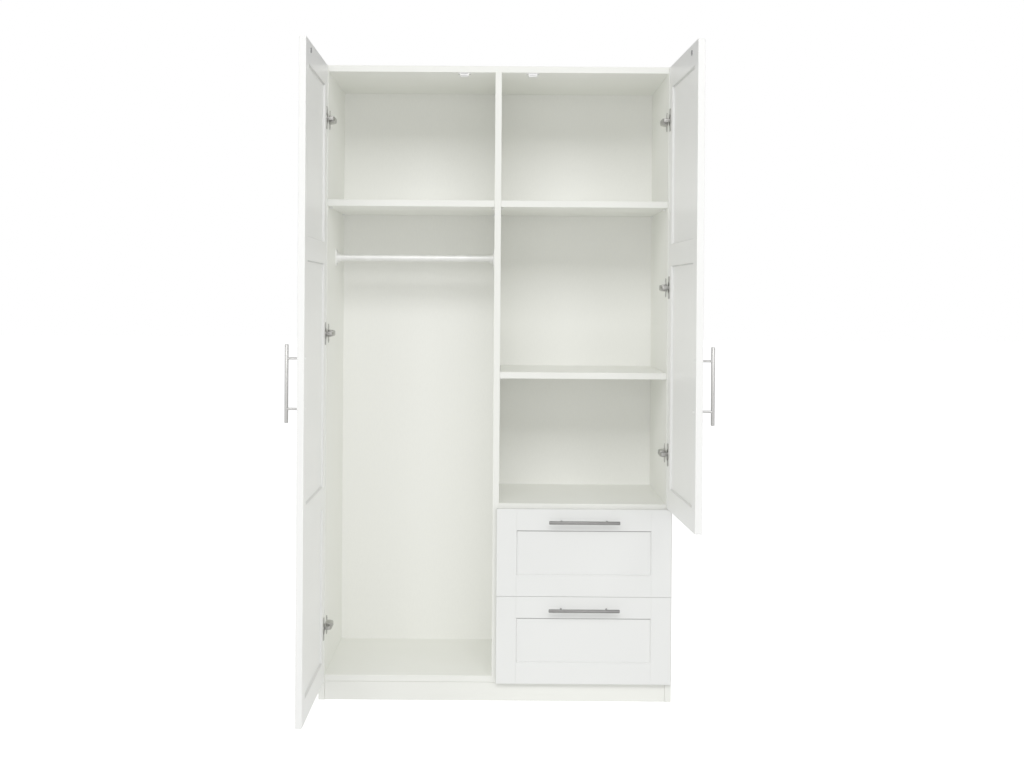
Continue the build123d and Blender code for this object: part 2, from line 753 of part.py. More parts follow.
def make_drawer(drawer):
    """Drawer with its framed front, box, bottom, runner members, handle and screws."""
    name = f"{drawer}_drawer"
    bottom = drawer_bottoms[drawer]
    top = bottom + drawer_front_height
    inner = Plane(origin=(0, fronts_inner, 0), x_dir=(1, 0, 0), z_dir=(0, -1, 0))
    x0 = drawer_front_left
    x1 = drawer_front_right
    handle_x = (x0 + x1) / 2
    rail_bottoms = [bottom, top - rail_width]

    handle, posts = make_handle(inner, handle_x, top - drawer_handle_drop, upright=False)
    save(handle, f"{name}_handle")

    fixings = [(posts, handle_screw_radius, 0, front_thickness)]
    stiles = make_stiles(inner, x0, x1, bottom, top, [])
    rails = make_rails(inner, x0, x1, bottom, top, rail_bottoms, fixings)
    save(stiles, f"{name}_front_stiles")
    save(rails, f"{name}_front_rails")
    save(make_panels(inner, x0, x1, rail_bottoms), f"{name}_front_panel")

    # Box: two sides and a back, with the bottom in grooves in the sides
    floor = bottom + box_lift
    rim = floor + box_height
    base_z = floor + box_bottom_lift
    base_top = base_z + back_thickness
    left = box_outer_left
    right = box_outer_right
    inner_left = left + drawer_side_thickness
    inner_right = right - drawer_side_thickness
    web_z = floor + member_screw_lift
    web_points = [(y, web_z) for y in member_screw_spots]
    screw_hold = member_screw_hold
    with BuildPart() as sides:
        block(left, inner_left, fronts_inner, box_rear, floor, rim)
        block(inner_right, right, fronts_inner, box_rear, floor, rim)
        fillet(sides.edges().filter_by(Axis.Y).group_by(Axis.Z)[-1], box_edge_radius)
        groove_left = inner_left - box_bottom_groove
        groove_right = inner_right + box_bottom_groove
        block(groove_left, groove_right, fronts_inner, box_rear, base_z, base_top, Mode.SUBTRACT)
        rod_x(web_points, screw_radius, left, left + screw_hold, Mode.SUBTRACT)
        rod_x(web_points, screw_radius, right, right - screw_hold, Mode.SUBTRACT)
    save(sides, f"{name}_sides")

    with BuildPart() as back:
        rear_face = box_rear - drawer_side_thickness
        block(inner_left, inner_right, rear_face, box_rear, base_top, rim - box_back_drop)
        fillet(back.edges().filter_by(Axis.X).group_by(Axis.Z)[-1], box_edge_radius)
    save(back, f"{name}_back")

    with BuildPart() as base:
        block(groove_left, groove_right, fronts_inner, box_rear, base_z, base_top)
    save(base, f"{name}_bottom")

    # Runner members under the sides, with a stud for the rear roller
    axle = (rear_roller_y, channel_base(drawer) + channel_height / 2)
    with BuildPart() as runners:
        for wall, inward in drawer_walls:
            side_face = wall + inward * runner_space
            web = side_face - inward * runner_sheet
            block(web, side_face, fronts_inner, box_rear, floor - runner_sheet, floor + member_top)
            foot = side_face + inward * member_foot
            block(side_face, foot, fronts_inner, box_rear, floor - runner_sheet, floor)
            lip = wall + inward * member_flange_start
            block(lip, web, fronts_inner, box_rear, floor + member_top - runner_sheet, floor + member_top)
            rod_x([axle], stud_radius, wall + inward * (roller_near + stud_start), web)
            rod_x(web_points, screw_radius, web, side_face, Mode.SUBTRACT)
    save(runners, f"{name}_runners")

    with BuildPart() as screws:
        tip = front_thickness + screw_length
        add_screws(inner, posts, handle_screw_radius, 0, tip, screw_head_radius, screw_head_height)
        for wall, inward in drawer_walls:
            web = wall + inward * (runner_space - runner_sheet)
            rod_x(web_points, screw_radius, web, web + inward * (runner_sheet + screw_hold))
            rod_x(web_points, screw_head_radius, web - inward * screw_head_height, web)
    save(screws, f"{name}_screws")


for drawer in drawer_bottoms:
    axle_z = channel_base(drawer) + channel_height / 2
    save(make_rollers(front_roller_y, axle_z, front_roller_radius), f"{drawer}_front_rollers")
    save(make_rollers(rear_roller_y, axle_z, rear_roller_radius), f"{drawer}_rear_rollers")
    make_drawer(drawer)
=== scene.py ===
"""Looks of the two-door wardrobe: materials, fittings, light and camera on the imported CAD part."""
import json
from math import atan2, cos, pi, radians, sin

import bmesh
import bpy
from mathutils import Matrix, Vector


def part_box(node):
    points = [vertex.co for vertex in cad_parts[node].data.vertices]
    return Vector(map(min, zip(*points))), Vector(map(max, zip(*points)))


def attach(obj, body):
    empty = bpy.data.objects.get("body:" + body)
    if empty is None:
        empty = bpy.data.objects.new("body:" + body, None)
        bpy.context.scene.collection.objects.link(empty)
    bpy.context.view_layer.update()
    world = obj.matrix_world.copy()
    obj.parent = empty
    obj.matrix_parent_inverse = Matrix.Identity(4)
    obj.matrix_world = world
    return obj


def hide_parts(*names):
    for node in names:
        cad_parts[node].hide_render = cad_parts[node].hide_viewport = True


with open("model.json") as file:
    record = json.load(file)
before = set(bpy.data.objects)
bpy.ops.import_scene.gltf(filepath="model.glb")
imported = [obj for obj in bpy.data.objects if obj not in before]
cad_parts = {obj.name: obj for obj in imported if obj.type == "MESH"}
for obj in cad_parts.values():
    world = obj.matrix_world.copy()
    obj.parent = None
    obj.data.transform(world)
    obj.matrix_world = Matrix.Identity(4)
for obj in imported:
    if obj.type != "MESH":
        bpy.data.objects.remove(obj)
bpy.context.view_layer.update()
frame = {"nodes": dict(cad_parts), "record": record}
nodes = frame["nodes"]
slots = {row["node"]: row["material_slot"] for row in frame["record"]["subparts"]}
MM = 0.001

# -------- material helpers


# Sockets of a Mix node that mixes colours
MIX_FACTOR, MIX_FIRST, MIX_SECOND, MIX_RESULT = 0, 6, 7, 2


class Look:
    """A node material with a Principled shader, and short calls that add nodes to it."""

    def __init__(self, name, metallic=0.0):
        self.material = bpy.data.materials.new(name)
        self.material.use_nodes = True
        self.tree = self.material.node_tree
        self.shader = self.tree.nodes["Principled BSDF"]
        self.shader.inputs["Metallic"].default_value = metallic
        self.position = self.add("TexCoord").outputs["Object"]

    def add(self, kind, **settings):
        node = self.tree.nodes.new("ShaderNode" + kind)
        for key, value in settings.items():
            setattr(node, key, value)
        return node

    def link(self, output, target):
        """Link an output to an input, or set the input to a number or colour."""
        if hasattr(output, "links"):
            self.tree.links.new(output, target)
        elif isinstance(output, tuple) and len(output) == 3 and target.type == "RGBA":
            target.default_value = (*output, 1)
        else:
            target.default_value = output

    def noise(self, scale, stretch=(1, 1, 1), detail=3.0, rough=0.55, offset=0.0):
        """Noise value; stretch multiplies the scale along each axis."""
        mapping = self.add("Mapping")
        mapping.inputs["Scale"].default_value = stretch
        mapping.inputs["Location"].default_value = (offset, offset, offset)
        self.link(self.position, mapping.inputs["Vector"])
        texture = self.add("TexNoise")
        texture.inputs["Scale"].default_value = scale
        texture.inputs["Detail"].default_value = detail
        texture.inputs["Roughness"].default_value = rough
        self.link(mapping.outputs["Vector"], texture.inputs["Vector"])
        return texture.outputs["Fac"]

    def cells(self, scale):
        """Random grey for each cell of a Voronoi pattern."""
        texture = self.add("TexVoronoi")
        texture.inputs["Scale"].default_value = scale
        self.link(self.position, texture.inputs["Vector"])
        split = self.add("SeparateColor")
        self.link(texture.outputs["Color"], split.inputs["Color"])
        return split.outputs["Red"]

    def remap(self, value, from_low, from_high, low, high):
        """Value moved from one range to another, and held inside it."""
        node = self.add("MapRange")
        limits = {"From Min": from_low, "From Max": from_high, "To Min": low, "To Max": high}
        for key, number in limits.items():
            node.inputs[key].default_value = number
        self.link(value, node.inputs["Value"])
        return node.outputs["Result"]

    def math(self, operation, first, second):
        node = self.add("Math", operation=operation)
        self.link(first, node.inputs[0])
        self.link(second, node.inputs[1])
        return node.outputs["Value"]

    def mix(self, factor, first, second, **settings):
        """Blend of two colours."""
        node = self.add("Mix", data_type="RGBA", **settings)
        self.link(factor, node.inputs[MIX_FACTOR])
        self.link(first, node.inputs[MIX_FIRST])
        self.link(second, node.inputs[MIX_SECOND])
        return node.outputs[MIX_RESULT]

    def split(self, vector):
        """Outputs X, Y and Z of a vector."""
        node = self.add("SeparateXYZ")
        self.link(vector, node.inputs["Vector"])
        return node.outputs

    def dim(self, tone, mask, share):
        """Multiply a tone by a share where the mask is 1."""
        return self.mix(mask, tone, (share, share, share), blend_type="MULTIPLY")

    def edges(self, radius):
        """Rounded normal and edge mask: 0 on flat faces, 1 on sharp edges."""
        bevel = self.add("Bevel", samples=4)
        bevel.inputs["Radius"].default_value = radius
        flat = self.add("NewGeometry").outputs["Normal"]
        dot = self.add("VectorMath", operation="DOT_PRODUCT")
        self.link(bevel.outputs["Normal"], dot.inputs[0])
        self.link(flat, dot.inputs[1])
        return bevel.outputs["Normal"], self.remap(dot.outputs["Value"], 1.0, 0.76, 0.0, 1.0)

    def bump(self, height, strength, distance, normal=None):
        node = self.add("Bump")
        node.inputs["Strength"].default_value = strength
        node.inputs["Distance"].default_value = distance
        self.link(height, node.inputs["Height"])
        if normal is not None:
            self.link(normal, node.inputs["Normal"])
        return node.outputs["Normal"]

    def finish(self, colour, roughness, normal):
        self.link(colour, self.shader.inputs["Base Color"])
        self.link(roughness, self.shader.inputs["Roughness"])
        self.link(normal, self.shader.inputs["Normal"])
        return self.material


def scaled(colour, factor):
    """Colour times a number."""
    return tuple(channel * factor for channel in colour)


# -------- materials


def foil(name, colour, roughness, grain=(1, 1, 1), coat=0.0, edge_wear_and_highlight=0.9, front_shade=1.0, outer=1.0):
    """White foil on board: cloudy tone, faint pressed grain, fine pores, and edges in the colour times an
    edge factor: darker for wear, lighter as a painted highlight.

    The band factor darkens the faces towards -Y, a painted shade given as a share of the board's tone, and
    outer darkens the faces that look away from the middle plane, also a painted shade.
    """
    look = Look(name)
    cloud = look.remap(look.noise(2.2, detail=4), 0.3, 0.7, 0, 1)
    tone = look.mix(cloud, scaled(colour, 0.985), scaled(colour, 1.01))
    speck = look.remap(look.noise(420, detail=2, offset=3), 0.62, 0.74, 0, 0.35)
    tone = look.mix(speck, tone, scaled(colour, 0.95))
    soft_normal, edge = look.edges(1.2 * MM)
    # Edge mask: the edges get the colour times the edge factor, darker as wear on the boards and lighter as a
    # painted highlight on the door and drawer fronts.
    wear_and_highlight_edges = look.math("MULTIPLY", edge, look.remap(look.noise(60, offset=7), 0.35, 0.7, 0.25, 1))
    red, green, blue = scaled(colour, edge_wear_and_highlight)
    tone = look.mix(wear_and_highlight_edges, tone, (red, green * 0.99, blue * 0.97))
    facing = look.split(look.add("TexCoord").outputs["Normal"])
    # Painted shade: the faces towards -Y are darkened.
    if front_shade < 1:
        tone = look.dim(tone, look.remap(facing["Y"], -0.8, -0.95, 0, 1), front_shade)
    # Painted shade: the faces that look away from the middle plane are darkened.
    if outer < 1:
        outward = look.math("MULTIPLY", look.split(look.position)["X"], facing["X"])
        tone = look.dim(tone, look.remap(outward, 0.3, 0.45, 0, 1), outer)
    pressed = look.noise(90, stretch=grain, detail=5, rough=0.6)
    pores = look.noise(1400, detail=2)
    relief = look.math("ADD", look.math("MULTIPLY", pressed, 0.7), look.math("MULTIPLY", pores, 0.3))
    rough = look.remap(look.noise(9, detail=5, offset=5), 0.3, 0.7, roughness - 0.05, roughness + 0.06)
    rough = look.math("ADD", rough, look.math("MULTIPLY", wear_and_highlight_edges, 0.12))
    if coat:
        look.shader.inputs["Coat Weight"].default_value = coat
        look.shader.inputs["Coat Roughness"].default_value = 0.3
    return look.finish(tone, rough, look.bump(relief, 0.12, 0.25 * MM, soft_normal))


def hardboard(name, colour):
    """Painted hardboard: matt, with pressed fibres showing through the paint."""
    look = Look(name)
    fibres = look.noise(260, stretch=(1, 1, 0.25), detail=6, rough=0.7)
    cloud = look.noise(3, detail=4, offset=2)
    tone = look.mix(look.remap(fibres, 0.35, 0.7, 0, 1), scaled(colour, 1.01), scaled(colour, 0.965))
    tone = look.mix(look.remap(cloud, 0.3, 0.7, 0, 0.5), tone, scaled(colour, 0.985))
    soft_normal, edge = look.edges(0.8 * MM)
    red, green, blue = scaled(colour, 0.8)
    tone = look.mix(look.math("MULTIPLY", edge, 0.6), tone, (red, green * 0.95, blue * 0.85))
    rough = look.remap(fibres, 0.3, 0.7, 0.54, 0.68)
    return look.finish(tone, rough, look.bump(fibres, 0.15, 0.2 * MM, soft_normal))


def brushed(name, colour, roughness, stretch, strength=0.16):
    """Brushed or plated metal: fine lines along one axis, smudges, and edges made bright by wear."""
    look = Look(name, metallic=1.0)
    lines = look.noise(40, stretch=stretch, detail=6, rough=0.7)
    smudge = look.noise(55, detail=4, offset=4)
    tone = look.mix(look.remap(lines, 0.3, 0.7, 0, 1), scaled(colour, 0.9), scaled(colour, 1.06))
    tone = look.mix(look.remap(smudge, 0.5, 0.75, 0, 0.25), tone, scaled(colour, 0.8))
    soft_normal, edge = look.edges(0.35 * MM)
    tone = look.mix(look.math("MULTIPLY", edge, 0.6), tone, scaled(colour, 1.25))
    rough = look.remap(look.math("ADD", lines, smudge), 0.7, 1.3, roughness - 0.07, roughness + 0.1)
    look.shader.inputs["Anisotropic"].default_value = 0.35
    return look.finish(tone, rough, look.bump(lines, strength, 0.12 * MM, soft_normal))


def plated(name, colour, roughness, mottle, spangle=0.0, metallic=1.0):
    """Bright plate: soft waves, smudges, and for zinc a crystal pattern."""
    look = Look(name, metallic)
    waves = look.noise(mottle, detail=3)
    tone = look.mix(look.remap(waves, 0.35, 0.7, 0, 1), scaled(colour, 0.93), scaled(colour, 1.04))
    if spangle:
        crystal = look.math("MULTIPLY", look.cells(700), spangle)
        tone = look.mix(crystal, tone, scaled(colour, 0.7))
    soft_normal, edge = look.edges(0.3 * MM)
    tone = look.mix(look.math("MULTIPLY", edge, 0.5), tone, scaled(colour, 1.15))
    smudge = look.noise(mottle * 3, detail=5, offset=6)
    rough = look.remap(smudge, 0.3, 0.7, roughness - 0.04, roughness + 0.08)
    return look.finish(tone, rough, look.bump(waves, 0.08, 0.15 * MM, soft_normal))


def powder(name, colour):
    """Epoxy powder coat on steel: orange peel, and thin coat on the edges."""
    look = Look(name)
    peel = look.noise(900, detail=2, rough=0.4)
    cloud = look.noise(14, detail=3)
    tone = look.mix(look.remap(cloud, 0.3, 0.7, 0, 1), scaled(colour, 0.97), scaled(colour, 1.01))
    soft_normal, edge = look.edges(0.4 * MM)
    chips = look.math("MULTIPLY", edge, look.remap(look.noise(240, offset=9), 0.45, 0.6, 0.1, 0.8))
    tone = look.mix(chips, tone, (0.5, 0.49, 0.47))
    rough = look.remap(peel, 0.3, 0.7, 0.32, 0.46)
    return look.finish(tone, rough, look.bump(peel, 0.2, 0.15 * MM, soft_normal))


def moulded(name, colour, roughness, texture):
    """Moulded plastic: fine spark texture, faint flow marks and scuffed edges."""
    look = Look(name)
    grain = look.noise(texture, detail=2)
    flow = look.noise(35, stretch=(1, 1, 2.5), detail=4, offset=8)
    tone = look.mix(look.remap(flow, 0.3, 0.7, 0, 1), scaled(colour, 0.94), scaled(colour, 1.05))
    soft_normal, edge = look.edges(0.4 * MM)
    tone = look.mix(look.math("MULTIPLY", edge, 0.5), tone, scaled(colour, 1.18))
    rough = look.remap(grain, 0.3, 0.7, roughness - 0.06, roughness + 0.1)
    look.shader.inputs["Subsurface Weight"].default_value = 0.04
    look.shader.inputs["Subsurface Radius"].default_value = (0.002, 0.002, 0.002)
    return look.finish(tone, rough, look.bump(grain, 0.22, 0.12 * MM, soft_normal))


board_colour = (0.84, 0.85, 0.785)
door_colour = (0.87, 0.875, 0.85)
# The drawer fronts are the same white as the doors, darkened here as a painted shade.
shaded_drawer_colour = (0.65, 0.66, 0.64)
nickel = (0.52, 0.515, 0.5)
# The drawer handles are the same nickel as the door handles, darkened here as a painted shade.
shaded_nickel = (0.17, 0.168, 0.162)
# Painted shade on the faces towards -Y, as a share of the tone
board_front_shade = 0.82
door_front_shade = 0.84
# Edge factor of the door and drawer fronts: lighter edges, a painted highlight.
front_edge_highlight = 1.04
# The doors take the fronts' painted edge highlight and a painted shade on their outward faces.
door_painted_light = {"edge_wear_and_highlight": front_edge_highlight, "outer": 0.76}
upright_grain = (1, 1, 0.06)
level_grain = (0.06, 1, 1)
looks = {
    "board_white": foil("white_board", board_colour, 0.42, upright_grain, front_shade=board_front_shade),
    "level_board": foil("white_level_board", board_colour, 0.42, level_grain, front_shade=board_front_shade),
    "back_white": hardboard("white_hardboard", (0.85, 0.855, 0.8)),
    "door_white": foil(
        "white_front", door_colour, 0.34, upright_grain, coat=0.15, front_shade=door_front_shade, **door_painted_light
    ),
    "door_rail": foil("white_front_rail", door_colour, 0.34, level_grain, coat=0.15, **door_painted_light),
    "door_panel_white": foil("white_front_panel", door_colour, 0.36, upright_grain, coat=0.1, **door_painted_light),
    "drawer_stile": foil(
        "shaded_drawer_stile", shaded_drawer_colour, 0.34, upright_grain, coat=0.15, edge_wear_and_highlight=front_edge_highlight
    ),
    "drawer_rail": foil("shaded_drawer_rail", shaded_drawer_colour, 0.34, level_grain, coat=0.15, edge_wear_and_highlight=front_edge_highlight),
    "drawer_panel": foil("shaded_drawer_panel", shaded_drawer_colour, 0.36, level_grain, coat=0.1, edge_wear_and_highlight=front_edge_highlight),
    "drawer_board_white": foil("white_drawer_board", (0.82, 0.825, 0.8), 0.5, (1, 0.06, 1), edge_wear_and_highlight=0.85),
    "handle_nickel": brushed("nickel_upright", nickel, 0.5, (18, 18, 0.4)),
    # Drawer handles: brushed along their length, in the darker nickel that is painted shade.
    "shaded_handle_level": brushed("shaded_nickel_level", shaded_nickel, 0.42, (0.4, 18, 18)),
    "hinge_nickel": brushed("nickel_hinge", (0.31, 0.305, 0.285), 0.36, (9, 1, 9), 0.08),
    "rail_chrome": plated("satin_chrome", (0.78, 0.78, 0.76), 0.45, 30, metallic=0.55),
    "screw_zinc": plated("bright_zinc", (0.42, 0.425, 0.43), 0.36, 160, spangle=0.35),
    "runner_white": powder("epoxy_white", (0.78, 0.78, 0.76)),
    "roller_plastic": moulded("nylon", (0.68, 0.68, 0.65), 0.4, 900),
    "catch_plastic": moulded("catch_plastic", (0.8, 0.8, 0.78), 0.4, 1100),
    "glide_plastic": moulded("glide_plastic", (0.6, 0.6, 0.58), 0.45, 1000),
    "cap_white": moulded("white_cap", door_colour, 0.4, 1100),
    # Door moulding: the door's white darkened, a painted shade along the panel edges.
    "door_bead": foil("shaded_front_bead", scaled(door_colour, 0.8), 0.45, upright_grain, **door_painted_light),
    # Drawer moulding: lighter than the drawer face, a painted highlight along the panel edges.
    "drawer_bead": foil("lit_drawer_bead", (0.74, 0.745, 0.73), 0.34, upright_grain, edge_wear_and_highlight=front_edge_highlight),
    # Painted shadow: grey strips along the top of each panel, where the rail shades it.
    "door_reveal": moulded("pale_reveal", (0.52, 0.52, 0.5), 0.6, 900),
    "drawer_reveal": moulded("grey_reveal", (0.26, 0.26, 0.255), 0.6, 900),
}
magnet_look = plated("magnet_steel", (0.25, 0.25, 0.26), 0.4, 220)

level_nodes = {
    "top_panel", "bottom_panel", "drawer_deck", "upper_shelves", "middle_shelf", "plinth_boards",
}
drawer_front_looks = {"stiles": "drawer_stile", "rails": "drawer_rail", "panel": "drawer_panel"}
for name, slot_name in slots.items():
    look_name = slot_name
    if name in level_nodes:
        look_name = "level_board"
    elif "drawer_front" in name:
        look_name = drawer_front_looks[name.split("_")[-1]]
    elif slot_name == "door_white" and "rails" in name:
        look_name = "door_rail"
    elif name.endswith("drawer_handle"):
        look_name = "shaded_handle_level"
    data = nodes[name].data
    data.materials.clear()
    data.materials.append(looks[look_name])

# -------- places taken from the CAD nodes

WELD = 1e-6


def lumps(name, local=Matrix.Identity(4)):
    """Boxes (low, high) of a node's separate solids, in a local frame, from low to high."""
    inverse = local.inverted()
    mesh = bmesh.new()
    mesh.from_mesh(nodes[name].data)
    bmesh.ops.remove_doubles(mesh, verts=mesh.verts, dist=WELD)
    mesh.verts.ensure_lookup_table()
    unseen = set(range(len(mesh.verts)))
    boxes = []
    for start in range(len(mesh.verts)):
        if start not in unseen:
            continue
        unseen.discard(start)
        group = [mesh.verts[start]]
        for vertex in group:
            for edge in vertex.link_edges:
                other = edge.other_vert(vertex)
                if other.index in unseen:
                    unseen.discard(other.index)
                    group.append(other)
        points = [inverse @ vertex.co for vertex in group]
        low = Vector(min(point[axis] for point in points) for axis in range(3))
        high = Vector(max(point[axis] for point in points) for axis in range(3))
        boxes.append((low, high))
    mesh.free()
    return sorted(boxes, key=lambda box: [round(value, 4) for value in (box[0].z, box[0].x, box[0].y)])


def frame_of(origin, x_axis, z_axis):
    """Local frame from its origin, X axis and Z axis."""
    x_axis = Vector(x_axis).normalized()
    z_axis = Vector(z_axis).normalized()
    y_axis = z_axis.cross(x_axis)
    turn = Matrix((x_axis, y_axis, z_axis)).transposed().to_4x4()
    return Matrix.Translation(origin) @ turn


def middle(box):
    """Middle of a box."""
    return (box[0] + box[1]) / 2


def door_frame(door):
    """Frame of a door: x along it, y up, z out of its outer face, origin at its pivot line."""
    panel = max(nodes[f"{door}_panels"].data.polygons, key=lambda face: face.area)
    pivot = middle(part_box(f"{door}_hinge_pins"))
    outward = Vector(panel.normal)
    if outward.x * pivot.x < 0:
        outward.negate()
    across = Vector((0, 0, 1)).cross(outward)
    return frame_of((pivot.x, pivot.y, 0), across, outward)


# A drawer front's frame: x to the right, y up, z towards the front
drawer_frame = frame_of((0, 0, 0), (1, 0, 0), (0, -1, 0))

# -------- mesh builders


def in_mm(points):
    """Points in metres from points in millimetres."""
    return [(x * MM, y * MM) for x, y in points]


def circle(mesh, place, radius, z, angles):
    """Vertices round local Z at the angles, or a single one on the axis."""
    if radius == 0:
        return [mesh.verts.new(place @ Vector((0, 0, z)))]
    return [mesh.verts.new(place @ Vector((radius * cos(a), radius * sin(a), z))) for a in angles]


def lathe(mesh, place, profile, count=28):
    """Body turned about local Z. Its profile, as radius and z, runs from axis to axis or in a ring."""
    angles = [2 * pi * step / count for step in range(count)]
    loops = [circle(mesh, place, radius, z, angles) for radius, z in profile]
    pairs = list(zip(loops, loops[1:]))
    if profile[0][0] > 0:
        pairs.append((loops[-1], loops[0]))
    for first, second in pairs:
        for step in range(count):
            following = (step + 1) % count
            corners = []
            for loop, index in ((first, step), (first, following), (second, following), (second, step)):
                vertex = loop[index % len(loop)]
                if vertex not in corners:
                    corners.append(vertex)
            mesh.faces.new(corners)


def prism(mesh, place, outline, low, high, bevel=0.0, segments=2):
    """Flat outline pushed from low to high along local Z, its end edges rounded."""
    bottom = [mesh.verts.new(place @ Vector((x, y, low))) for x, y in outline]
    top = [mesh.verts.new(place @ Vector((x, y, high))) for x, y in outline]
    ends = [mesh.faces.new(bottom[::-1]), mesh.faces.new(top)]
    for step in range(len(outline)):
        following = (step + 1) % len(outline)
        mesh.faces.new((bottom[step], bottom[following], top[following], top[step]))
    if bevel:
        edges = [edge for face in ends for edge in face.edges]
        bmesh.ops.bevel(mesh, geom=edges, offset=bevel, segments=segments, profile=0.5, affect="EDGES")


def rounded(width, height, radius, centre=(0, 0), steps=5):
    """Outline of a rectangle with round corners."""
    points = []
    for corner, (sx, sy) in enumerate(((1, 1), (-1, 1), (-1, -1), (1, -1))):
        cx = centre[0] + sx * (width / 2 - radius)
        cy = centre[1] + sy * (height / 2 - radius)
        for step in range(steps + 1):
            angle = pi / 2 * (corner + step / steps)
            points.append((cx + radius * cos(angle), cy + radius * sin(angle)))
    return points


def tab_outline(half_width, end, corner, radius, steps=8):
    """Outline of a tab from a round cup's rim to its rounded end, along +Y."""
    reach = (radius * radius - half_width * half_width) ** 0.5
    first = atan2(reach, half_width)
    points = []
    for side in (1, -1):
        for step in range(steps + 1):
            angle = pi / 2 * step / steps
            turn = angle if side > 0 else pi / 2 - angle
            centre_x = side * (half_width - corner)
            points.append((centre_x + side * corner * cos(turn), end - corner + corner * sin(turn)))
    for step in range(2 * steps + 1):
        angle = pi - first - (pi - 2 * first) * step / (2 * steps)
        points.append((radius * cos(angle), radius * sin(angle)))
    return points


# Cross recess of a screw: points round the head, and its sizes as shares of the head's radius
CROSS_COUNT = 24
CROSS_REACH, CROSS_HALF_WIDTH, CROSS_DEPTH = 0.46, 0.12, 0.3
CROSS_TAPER = 0.75


def screw(mesh, place, head_radius, head_height, shank_radius, length, flush=False):
    """Screw with a cross recess. Local Z points out of its head, z = 0 is the head's seat."""
    tip = shank_radius * 0.4
    profile = [
        (0, -length), (tip, -length), (shank_radius, -length + 2 * shank_radius), (shank_radius, 0),
        (head_radius, 0), (head_radius, head_height * (0.9 if flush else 0.35)),
    ]
    if flush:
        profile.append((head_radius * 0.95, head_height))
    else:
        profile += [(head_radius * 0.9, head_height * 0.72), (head_radius * 0.66, head_height)]
    angles = [2 * pi * (step - 0.5) / CROSS_COUNT for step in range(CROSS_COUNT)]
    loops = [circle(mesh, place, radius, z, angles) for radius, z in profile]
    for first, second in zip(loops, loops[1:]):
        for step in range(CROSS_COUNT):
            following = (step + 1) % CROSS_COUNT
            if len(first) == 1:
                mesh.faces.new((first[0], second[step], second[following]))
            else:
                mesh.faces.new((first[step], first[following], second[following], second[step]))
    far = head_radius * CROSS_REACH
    near = head_radius * CROSS_HALF_WIDTH
    cross = [
        (far, -near), (far, near), (near, near), (near, far), (-near, far), (-near, near),
        (-far, near), (-far, -near), (-near, -near), (-near, -far), (near, -far), (near, -near),
    ]
    rim = [mesh.verts.new(place @ Vector((x, y, head_height))) for x, y in cross]
    floor_z = head_height - head_radius * CROSS_DEPTH
    floor_points = [(x * CROSS_TAPER, y * CROSS_TAPER, floor_z) for x, y in cross]
    floor_loop = [mesh.verts.new(place @ Vector(point)) for point in floor_points]
    outer = loops[-1]
    for step in range(len(cross)):
        following = (step + 1) % len(cross)
        first, second, third = (outer[(2 * step + ahead) % CROSS_COUNT] for ahead in range(3))
        mesh.faces.new((first, second, rim[step]))
        mesh.faces.new((second, third, rim[following], rim[step]))
        mesh.faces.new((rim[step], rim[following], floor_loop[following], floor_loop[step]))
    mesh.faces.new(floor_loop)


SHARP_DEGREES = 34


def linked(name, data):
    """New object in the scene."""
    item = bpy.data.objects.new(name, data)
    bpy.context.scene.collection.objects.link(item)
    return item


def add_piece(name, mesh, look, slot_name, body, *replaced):
    """Finished piece from a bmesh, riding on a body and standing for CAD nodes."""
    bmesh.ops.recalc_face_normals(mesh, faces=mesh.faces)
    data = bpy.data.meshes.new(name)
    mesh.to_mesh(data)
    mesh.free()
    data.shade_smooth()
    data.set_sharp_from_angle(angle=radians(SHARP_DEGREES))
    data.materials.append(look)
    piece = linked(name, data)
    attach(piece, body)
    if replaced:
        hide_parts(*replaced)
    return piece


# -------- screws, cams and pins

side_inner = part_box("right_side_panel")[0].x
half_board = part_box("centre_divider")[1].x
shank_share = 0.43
turn_per_metre = 60  # Turns each recess by where its screw sits, so that they don't line up


def screw_from_box(mesh, box, local, axis, direction, head_height):
    """Screw that fills a CAD screw's box; direction is where its head points along the axis."""
    low, high = box
    size = high - low
    head_radius = min(size[(axis + 1) % 3], size[(axis + 2) % 3]) / 2
    seat = middle(box)
    tip = low[axis] if direction > 0 else high[axis]
    outer = high[axis] if direction > 0 else low[axis]
    seat[axis] = outer - direction * head_height
    z_axis = Vector((0, 0, 0))
    z_axis[axis] = direction
    x_axis = Vector((0, 0, 0))
    x_axis[(axis + 1) % 3] = 1
    turn = Matrix.Rotation(seat.length * turn_per_metre, 4, "Z")
    place = local @ frame_of(seat, x_axis, z_axis) @ turn
    screw(mesh, place, head_radius, head_height, head_radius * shank_share, abs(seat[axis] - tip))


head_height = 1.0 * MM
mesh = bmesh.new()
for box in lumps("carcass_screws"):
    x = middle(box).x
    wall = min((-side_inner, -half_board, half_board, side_inner), key=lambda value: abs(value - x))
    inward = {-side_inner: 1, -half_board: -1, half_board: 1, side_inner: -1}[wall]
    screw_from_box(mesh, box, Matrix.Identity(4), 0, inward, head_height)
add_piece("carcass_screw_set", mesh, looks["screw_zinc"], "screw_zinc", "carcass", "carcass_screws")

for door in ("left_door", "right_door"):
    local = door_frame(door)
    mesh = bmesh.new()
    for box in lumps(f"{door}_screws", local):
        screw_from_box(mesh, box, local, 2, -1, head_height)
    add_piece(f"{door}_screw_set", mesh, looks["screw_zinc"], "screw_zinc", door, f"{door}_screws")

